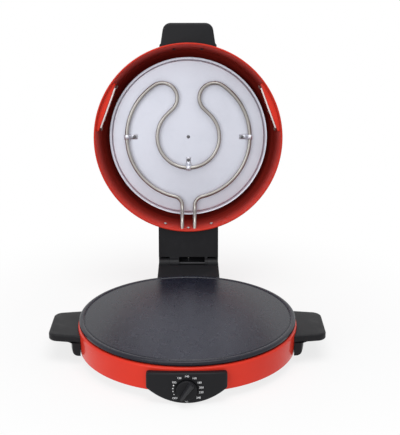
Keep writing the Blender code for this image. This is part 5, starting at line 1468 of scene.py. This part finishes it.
@dataclass
class Lid:
    """The lid: shell, windows, reflector, grill element, handle and fixings."""

    shop: Shop
    layout: Layout
    # Inside of the lid: a darker copy of the red paint, painted shade, that darkens further with depth as painted
    # shade.
    inside: Enamel = Enamel(
        (0.62, 0.032, 0.015), (0.54, 0.027, 0.013), 0.42, gloss=0.2, coat=0.0, painted_shade=(0.21, 0.0150, 0.0100)
    )
    strap: Metal = Metal((0.66, 0.675, 0.74), (0.60, 0.61, 0.67), 0.40, 0.8, grain=300)
    dark_screw: Metal = Metal((0.17, 0.17, 0.18), (0.10, 0.10, 0.10), 0.45, grain=400)
    # Rivets: dull metal, tinted red as a painted reflection of the red walls.
    dull_rivet_red_reflection: Metal = Metal((0.26, 0.19, 0.17), (0.18, 0.13, 0.12), 0.6, grain=400)
    # Ground edges of the panes, pale and tinted pink: a painted reflection of the red walls.
    ground: Dull = Dull((0.86, 0.80, 0.78), (0.72, 0.66, 0.64), 0.35, grain=600, depth=0.00008)
    rim_radius: float = 0.1985
    wall_radius: float = 0.1957
    depth: float = 0.084
    corner: float = 0.0285
    draft: float = 0.0094
    flare_height: float = 0.0045
    bead: float = 0.0018
    corner_steps: int = 16
    curl_steps: int = 10
    curl_start: float = math.radians(-145)
    curl_end: float = math.radians(65)
    sheet: float = 0.0008
    segments: int = 216
    top_rings: tuple[float, ...] = (0.0, 0.05, 0.10, 0.14)
    wall_rings: tuple[float, ...] = (0.045, 0.035, 0.025, 0.016, 0.009)
    pocket_distance: float = 0.1820
    pocket_low: float = 0.010
    pocket_high: float = 0.048
    pocket_angle: float = math.radians(20.5)
    pocket_half: float = 0.053
    pocket_edge: float = 0.0016
    pocket_overrun: float = 0.004
    slot_half: float = 0.034
    slot_height: float = 0.026
    slot_corner: float = 0.007
    slot_reach: float = 0.003
    pane_thickness: float = 0.003
    pane_half: float = 0.0445
    pane_margin: float = 0.002
    pane_edge: float = 0.0005
    pane_facing: float = 0.99
    rivet: Fastener = Fastener(0.0044, 0.0017, slotted=False)
    rivet_beyond_pane: float = 0.003
    rivet_past_sheet: float = 0.0016
    reflector_depth: float = 0.057
    reflector_radius: float = 0.1697
    reflector_sheet: float = 0.0006
    reflector_flange: float = 0.0045
    reflector_step: float = 0.003
    reflector_run: float = 0.0036
    reflector_lead: float = 0.0012
    reflector_land: float = 0.002
    reflector_rim: tuple[Point2, ...] = ((0.0016, 0.0), (0.0004, 0.0005), (0.0, 0.0018))
    element_depth: float = 0.047
    element_outer: float = 0.132
    element_ring: float = 0.0665
    element_loop: float = 0.032
    element_neck: float = 0.0235
    element_step: float = 0.004
    leg_spacing: float = 0.0135
    leg_bend: float = 0.020
    leg_depth: float = 0.0145
    leg_past_wall: float = 0.016
    leg_level: float = 0.010
    leg_steps: int = 12
    tube_facets: int = 5
    tube_radius: float = 0.004
    clip_width: float = 0.010
    clip_sheet: float = 0.001
    clip_clearance: float = 0.0006
    clip_pad: float = 0.012
    clip_start: float = 0.0105
    clip_heel: float = 0.001
    clip_steps: int = 16
    clip_bend: Point2 = (0.0004, 0.0006)
    clip_shoulder: Point2 = (0.0004, 0.0008)
    screw: Fastener = Fastener()
    clip_screw: Fastener = Fastener(shank_radius=0.0018, shank=0.0044)
    screw_head: float = 0.0042
    arm_screw_angle: float = math.radians(15)
    arm_screw_depth: float = 0.023
    handle_above_rim: float = 0.010
    handle_screw_angle: float = math.radians(9)
    handle_screw_rise: float = 0.025

    def build(self) -> None:
        """Builds and dresses the lid."""
        self._shell()
        self._windows()
        self._reflector()
        self._element()
        self._clips()
        self._fixings()
        self._handle()

    def _wall_at(self, depth: float) -> float:
        """The outer radius of the wall at a depth."""
        share = (depth - self.flare_height) / (self.depth - self.corner - self.flare_height)
        return self.wall_radius - self.draft * min(1.0, max(0.0, share))

    def _handle(self) -> None:
        """The lid's handle, cut to the lean of the wall."""
        turn = Matrix.Rotation(-QUARTER, 4, "Z") @ Matrix.Rotation(math.pi, 4, "X")
        place = self.layout.lid @ Matrix.Translation((0, 0, self.handle_above_rim)) @ turn
        bm = Handle(self._wall_at(self.handle_above_rim + Handle.drop)).mesh()
        name, nodes = "lid_handle_moulding", ["lid_handle"]
        obj = self.shop.add(name, bm, Body.LID, Slot.BLACK_PLASTIC, place, nodes, PLASTIC_SHARP)
        corner = self.depth - self.corner
        inner, wall, outer = self._wall_at(corner) + GAP, self.wall_radius + GAP, self.rim_radius + GAP
        form = [(0, self.depth), (inner, self.depth), (inner, corner), (wall, self.flare_height)]
        form += [(outer, 2 * self.bead + GAP), (outer, -OVERRUN), (0, -OVERRUN)]
        self.shop.cut(obj, Forge.turned(form, self.segments), self.layout.lid)

    def _profile(self) -> list[Point2]:
        """The outer face, from the middle of the top down to the curled rim.

        Returns:
            The profile's points.
        """
        top_radius = self.wall_radius - self.draft - self.corner
        profile = [(radius, self.depth) for radius in self.top_rings]
        profile += arc((top_radius, self.depth - self.corner), self.corner, QUARTER, 0, self.corner_steps)
        profile += [(self._wall_at(depth), depth) for depth in (*self.wall_rings, self.flare_height)]
        centre = (self.rim_radius - self.bead, self.bead)
        curl = self.bead - self.sheet
        return profile + arc(centre, curl, self.curl_start, self.curl_end, self.curl_steps)

    def _pockets(self) -> list[tuple[str, Matrix]]:
        """The two window pockets: a name, and the matrix that faces +X out through the window."""
        turns = (("right", -self.pocket_angle), ("left", math.pi + self.pocket_angle))
        return [(name, self.layout.lid @ Matrix.Rotation(turn, 4, "Z")) for name, turn in turns]

    def _pocket_block(self, place: Matrix) -> BMesh:
        """The block that a pocket is pressed from, cut by the wall's cone.

        Args:
            place: the pocket's matrix.

        Returns:
            The mesh, in the pocket's frame.
        """
        deep, flare, inset = self.depth - self.corner, self.flare_height, self.sheet / 2
        narrow, wide = (self._wall_at(depth) - inset for depth in (deep, flare))
        ring = [(0, deep), (narrow, deep), (wide, flare), (0, flare)]
        low = (self.pocket_distance, -self.pocket_half, self.pocket_low)
        high = (self.rim_radius, self.pocket_half, self.pocket_high)
        block = solid("block", Forge.slab(low, high, self.pocket_edge, 3), place)
        self.shop.cut(block, Forge.turned(ring, self.segments), self.layout.lid, "INTERSECT")
        return melted(block)

    def _pocket_cutters(self) -> list[BMesh]:
        """The room inside a pocket, and its window slot.

        Returns:
            Their meshes, in the pocket's frame.
        """
        sheet = self.sheet
        end = self.pocket_half - sheet
        low = (self.pocket_distance + sheet, -end, self.pocket_low + sheet)
        high = (self.rim_radius + self.pocket_overrun, end, self.pocket_high - sheet)
        middle = (self.pocket_low + self.pocket_high) / 2
        half, tall, corner = self.slot_half, self.slot_height / 2, self.slot_corner
        corners = [(-half, middle - tall, corner), (half, middle - tall, corner)]
        corners += [(half, middle + tall, corner), (-half, middle + tall, corner)]
        outline = rounded(corners, 8, True)
        reach = (self.pocket_distance - self.slot_reach, self.pocket_distance + self.slot_reach)
        return [Forge.slab(low, high), Forge.loft([[Vector((x, y, z)) for y, z in outline] for x in reach])]

    def _shell(self) -> None:
        """The red lid, pressed in at its two windows."""
        bm = Forge.turned(self._profile(), self.segments)
        place = self.layout.lid
        materials = [self.shop.materials[Slot.RED_PAINT], self.shop.special("lid_inside_painted_shade", self.inside)]
        nodes = ["lid_shell"]
        obj = self.shop.add("lid_pressing", bm, Body.LID, Slot.RED_PAINT, place, nodes, materials=materials)
        self.shop.thicken(obj, self.sheet)
        # The inner faces take the darker copy of the paint: painted shade.
        obj.modifiers["sheet"].material_offset = 1
        self.shop.bake(obj)
        for _, turned in self._pockets():
            self.shop.cut(obj, self._pocket_block(turned), turned, "UNION")
        for _, turned in self._pockets():
            for cutter in self._pocket_cutters():
                self.shop.cut(obj, cutter, turned)

    def _windows(self) -> None:
        """Glass panes with ground edges, held by a rivet at each end; the edges are pale and tinted pink, a
        painted reflection of the red walls.
        """
        outer = self.pocket_distance - GAP
        inner = outer - self.pane_thickness
        low = (inner, -self.pane_half, self.pocket_low + self.pane_margin)
        high = (outer, self.pane_half, self.pocket_high - self.pane_margin)
        along = self.pane_half + self.rivet_beyond_pane
        middle = (self.pocket_low + self.pocket_high) / 2
        materials = [self.shop.materials[Slot.WINDOW_GLASS], self.shop.special("ground_glass_red_reflection", self.ground)]
        rivet = replace(self.rivet, shank=self.pane_thickness + self.sheet + self.rivet_past_sheet)
        dull = self.shop.special("dull_rivet_red_reflection", self.dull_rivet_red_reflection)
        for side, place in self._pockets():
            bm = Forge.slab(low, high, self.pane_edge)
            for face in bm.faces:
                face.material_index = 0 if abs(face.normal.x) > self.pane_facing else 1
            name, nodes = f"{side}_window_glass", [f"{side}_window_pane"]
            self.shop.add(name, bm, Body.LID, Slot.WINDOW_GLASS, place, nodes, materials=materials)
            front = -along if side == "right" else along
            for end, y in (("front", front), ("rear", -front)):
                spot = Matrix.Translation((inner - GAP, y, middle)) @ Matrix.Rotation(QUARTER, 4, "Y")
                rivet.add(self.shop, f"{side}_window_rivet_{end}", Slot.ZINC_STEEL, place @ spot, dull)

    def _reflector(self) -> None:
        """The bright dish behind the element, with its stepped flange."""
        back = self.reflector_depth + self.reflector_sheet
        flange = self.reflector_radius - self.reflector_flange
        step, run = self.reflector_step, self.reflector_run
        rings = (*self.top_rings, flange - run - self.reflector_lead)
        profile = [(radius, back) for radius in rings]
        profile += [(flange - run + run * share, back + step * ease(share)) for share in shares(8)]
        profile += [(flange + self.reflector_land, back + step)]
        profile += [(self.reflector_radius - out, back + step - down) for out, down in self.reflector_rim]
        bm = Forge.turned(profile, self.segments)
        nodes = ["reflector"]
        obj = self.shop.add("reflector_dish", bm, Body.LID, Slot.BARE_ALUMINIUM, self.layout.lid, nodes)
        self.shop.thicken(obj, self.reflector_sheet)

    def _element_half(self) -> list[Point2]:
        """The right half of the element's centre line, from the ring's lowest point to its leg.

        Returns:
            Its points.
        """
        outer, ring, loop, bend = self.element_outer, self.element_ring, self.element_loop, self.leg_bend
        loop_x = self.element_neck + loop
        loop_y = math.sqrt((outer - loop) ** 2 - loop_x**2)
        toward = math.atan2(loop_y, loop_x)
        cross = math.acos((ring + loop) / math.hypot(loop_x, loop_y))
        bend_x = self.leg_spacing + bend
        bend_y = -math.sqrt((outer + bend) ** 2 - bend_x**2)
        turn = math.atan2(bend_y, bend_x)
        pieces = [
            ((0.0, 0.0), ring, -QUARTER, toward - cross),
            ((loop_x, loop_y), loop, toward + math.pi - cross, toward),
            ((0.0, 0.0), outer, toward, turn),
            ((bend_x, bend_y), bend, turn + math.pi, math.pi),
        ]
        path: list[Point2] = []
        for centre, radius, start, end in pieces:
            steps = max(4, round(abs(end - start) * radius / self.element_step))
            points = arc(centre, radius, start, end, steps)
            path += points[1:] if path and math.dist(points[0], path[-1]) < GAP else points
        return path

    def _element(self) -> None:
        """The sheathed tube."""
        half = self._element_half()
        wall = self._wall_at(self.leg_depth)
        last = half[-1]
        rise = self.element_depth - self.leg_depth
        run = last[1] + wall - self.leg_level
        right = [(x, -y, self.element_depth) for x, y in half]
        for share in shares(self.leg_steps):
            y, z = run * share - last[1], self.element_depth - rise * ease(share)
            right.append((self.leg_spacing, y, z))
        right.append((self.leg_spacing, wall + self.leg_past_wall, self.leg_depth))
        points = [(-x, y, z) for x, y, z in reversed(right[1:])] + right
        curve = bpy.data.curves.new("grill_tube", "CURVE")
        curve.dimensions = "3D"
        curve.bevel_depth = self.tube_radius
        curve.bevel_resolution = self.tube_facets
        curve.use_fill_caps = True
        spline = curve.splines.new("POLY")
        spline.points.add(len(points) - 1)
        for target, point in zip(spline.points, points):
            target.co = (*point, 1)
        spline.use_smooth = True
        self.shop.add("grill_tube", curve, Body.LID, Slot.ELEMENT_STEEL, self.layout.lid, ["upper_element"])

    def _clip_places(self) -> list[tuple[str, Matrix]]:
        """Each clip's name, and the matrix that puts the tube at the origin with the pad towards +X.

        Returns:
            The names and matrices.
        """
        outer, ring = self.element_outer, self.element_ring
        return [
            ("left", Matrix.Translation((-outer, 0, 0))),
            ("right", Matrix.Translation((outer, 0, 0)) @ Matrix.Rotation(math.pi, 4, "Z")),
            ("rear", Matrix.Translation((0, ring, 0)) @ Matrix.Rotation(-QUARTER, 4, "Z")),
        ]

    def _clips(self) -> None:
        """Straps over the tube, each held by a screw."""
        pad = self.reflector_depth - GAP - self.clip_sheet / 2
        saddle = self.tube_radius + self.clip_clearance + self.clip_sheet / 2
        start, hook = self.clip_start, self.element_depth + self.tube_radius / 2
        path = [(start + self.clip_pad, pad), (start + self.clip_heel, pad)]
        path += [(start - self.clip_bend[0], pad - self.clip_bend[1])]
        path += [(saddle + self.clip_shoulder[0], hook + self.clip_shoulder[1])]
        path += arc((0, self.element_depth), saddle, 0, -math.pi, self.clip_steps) + [(-saddle, hook)]
        spot = Matrix.Translation((start + self.clip_pad / 2, 0, pad - self.clip_sheet / 2 - GAP))
        pale = [self.shop.special("pale_zinc", self.strap)]
        dark = self.shop.special("dark_screw", self.dark_screw)
        for name, turn in self._clip_places():
            bm = Forge.ribbon(path, self.clip_width)
            place = self.layout.lid @ turn
            nodes = [f"element_clip_{name}"]
            obj = self.shop.add(f"strap_{name}", bm, Body.LID, Slot.ZINC_STEEL, place, nodes, materials=pale)
            self.shop.thicken(obj, self.clip_sheet, 0)
            self.clip_screw.add(self.shop, f"element_clip_screw_{name}", Slot.ZINC_STEEL, place @ spot, dark)

    def _fixings(self) -> None:
        """The screws that show inside the lid."""
        middle = self.layout.lid @ Matrix.Translation((0, 0, self.reflector_depth - GAP))
        dark = self.shop.special("dark_screw", self.dark_screw)
        self.screw.add(self.shop, "reflector_screw", Slot.ZINC_STEEL, middle, dark)
        spots = [("element_flange_screw", QUARTER, self.leg_depth, Slot.ZINC_STEEL)]
        for index, side in ((1, -1), (2, 1)):
            angle = QUARTER + side * self.arm_screw_angle
            spots.append((f"arm_screw_{index}", angle, self.arm_screw_depth, Slot.ZINC_STEEL))
            angle = -QUARTER + side * self.handle_screw_angle
            depth = self.handle_above_rim + self.handle_screw_rise
            # The handle screws are dressed in black plastic: painted shade, as they sit in the lid's shade.
            spots.append((f"lid_handle_screw_{index}", angle, depth, Slot.BLACK_PLASTIC))
        for node, angle, depth, slot in spots:
            seat = self._wall_at(depth + self.screw_head) - self.sheet - 2 * GAP
            out = Vector((math.cos(angle), math.sin(angle), 0))
            turn = out.to_track_quat("Z", "Y").to_matrix().to_4x4()
            place = self.layout.lid @ Matrix.Translation(out * seat + Vector((0, 0, depth))) @ turn
            self.screw.add(self.shop, node, slot, place)


@dataclass
class Leftovers:
    """The CAD nodes that keep their own shape."""

    shop: Shop
    blackened: Metal = Metal((0.045, 0.045, 0.048), (0.025, 0.024, 0.024), 0.52, grain=300)

    def dress(self) -> None:
        """Gives each shown CAD node its slot's finish."""
        slots = {part["node"]: Slot(part["material_slot"]) for part in frame["record"]["subparts"]}
        for name, obj in sorted(frame["nodes"].items()):
            if obj.hide_render:
                continue
            material = self.shop.materials[slots[name]]
            if name.startswith("hinge_pin"):
                material = self.shop.special("blackened_steel", self.blackened)
            if not obj.material_slots:
                obj.data.materials.append(material)
            for place in obj.material_slots:
                place.material = material
            LOG.info("%s keeps its shape, dressed as %s", name, slots[name].value)


# Studio


@dataclass(frozen=True)
class Lamp:
    """A square soft lamp, with its width in metres and its power in watts."""

    name: str
    at: Point3
    target: Point3
    size: float
    power: float

    def build(self) -> None:
        """Puts it in the scene."""
        light = bpy.data.lights.new(self.name, "AREA")
        light.size = self.size
        light.energy = self.power
        obj = in_scene(self.name, light)
        obj.location = self.at
        obj.rotation_euler = (Vector(self.target) - Vector(self.at)).to_track_quat("-Z", "Y").to_euler()


@dataclass
class Studio:
    """A pale floor, soft lamps, a white surround and the camera."""

    image_height: int = 435
    focal_pixels: float = 981.4
    sensor_height: float = 36.0
    camera_at: Point3 = (0.0160, -1.79743, 0.8105)
    camera_turn: Point3 = (QUARTER - 0.310, 0, -0.00442)
    lamps: tuple[Lamp, ...] = (
        Lamp("overhead", (0.1, -0.55, 2.3), (0, 0.0, 0.1), 1.6, 29),
        Lamp("front", (-1.5, -2.3, 1.2), (0, 0.1, 0.20), 1.4, 19),
    )
    white: Colour = (1.0, 1.0, 1.0)
    sky: Colour = (0.97, 0.985, 1.0)
    ambient: float = 0.42
    paper: Paper = Paper((0.93, 0.93, 0.93), (0.91, 0.91, 0.915))
    floor_rings: tuple[float, ...] = (0.0, 1.0, 4.0, 12.0)
    floor_drop: float = 0.0004
    floor_segments: int = 64
    near_glow: float = 0.77
    far_glow: float = 1.0
    near: float = 0.24
    far: float = 0.70

    def build(self) -> None:
        """Builds the studio."""
        self._world()
        self._floor()
        for lamp in self.lamps:
            lamp.build()
        self._camera()
        bpy.context.scene.view_settings.view_transform = "Standard"

    def _world(self) -> None:
        """A white surround that lights the object softly."""
        world = bpy.data.worlds.new("studio")
        bpy.context.scene.world = world
        graph = Graph(world, "Background", "World Output")
        graph.dress(Color=self.sky, Strength=self.ambient)
        shown = graph.node("ShaderNodeBackground", {}, {"Color": self.white, "Strength": 1.0})
        graph.blend_shaders(graph.seen(), shown)

    def _floor(self) -> None:
        """A pale floor that keeps the shadow and fades to white."""
        bm = Forge.turned([(radius, 0) for radius in self.floor_rings], self.floor_segments)
        floor = solid("floor", bm, Matrix.Translation((0, 0, -self.floor_drop)))
        graph = self.paper.graph("floor_paper")
        glow = graph.node("ShaderNodeEmission", {}, {"Color": self.white, "Strength": 1.0})
        away = graph.node("ShaderNodeVectorMath", {"operation": "LENGTH"}, {0: graph.place}, "Value")
        share = self.near_glow + away.between(self.near, self.far) * (self.far_glow - self.near_glow)
        graph.blend_shaders(graph.seen() * share, glow)
        floor.data.materials.append(graph.owner)

    def _camera(self) -> None:
        """The camera, where the photograph was taken from."""
        camera = bpy.data.cameras.new("camera")
        camera.sensor_fit = "VERTICAL"
        camera.sensor_height = self.sensor_height
        camera.lens = self.focal_pixels * self.sensor_height / self.image_height
        obj = in_scene("camera", camera)
        obj.location = self.camera_at
        obj.rotation_euler = self.camera_turn
        bpy.context.scene.camera = obj


def main() -> None:
    """Builds the studio and every sub-assembly, in order."""
    logging.basicConfig(level=logging.INFO, format="%(name)s: %(message)s")
    Studio().build()
    layout = Layout.read()
    shop = Shop()
    Base(shop, layout).build()
    Panel(shop, layout).build()
    Hinge(shop).build()
    Lid(shop, layout).build()
    Leftovers(shop).dress()


if __name__ == "__main__":
    main()
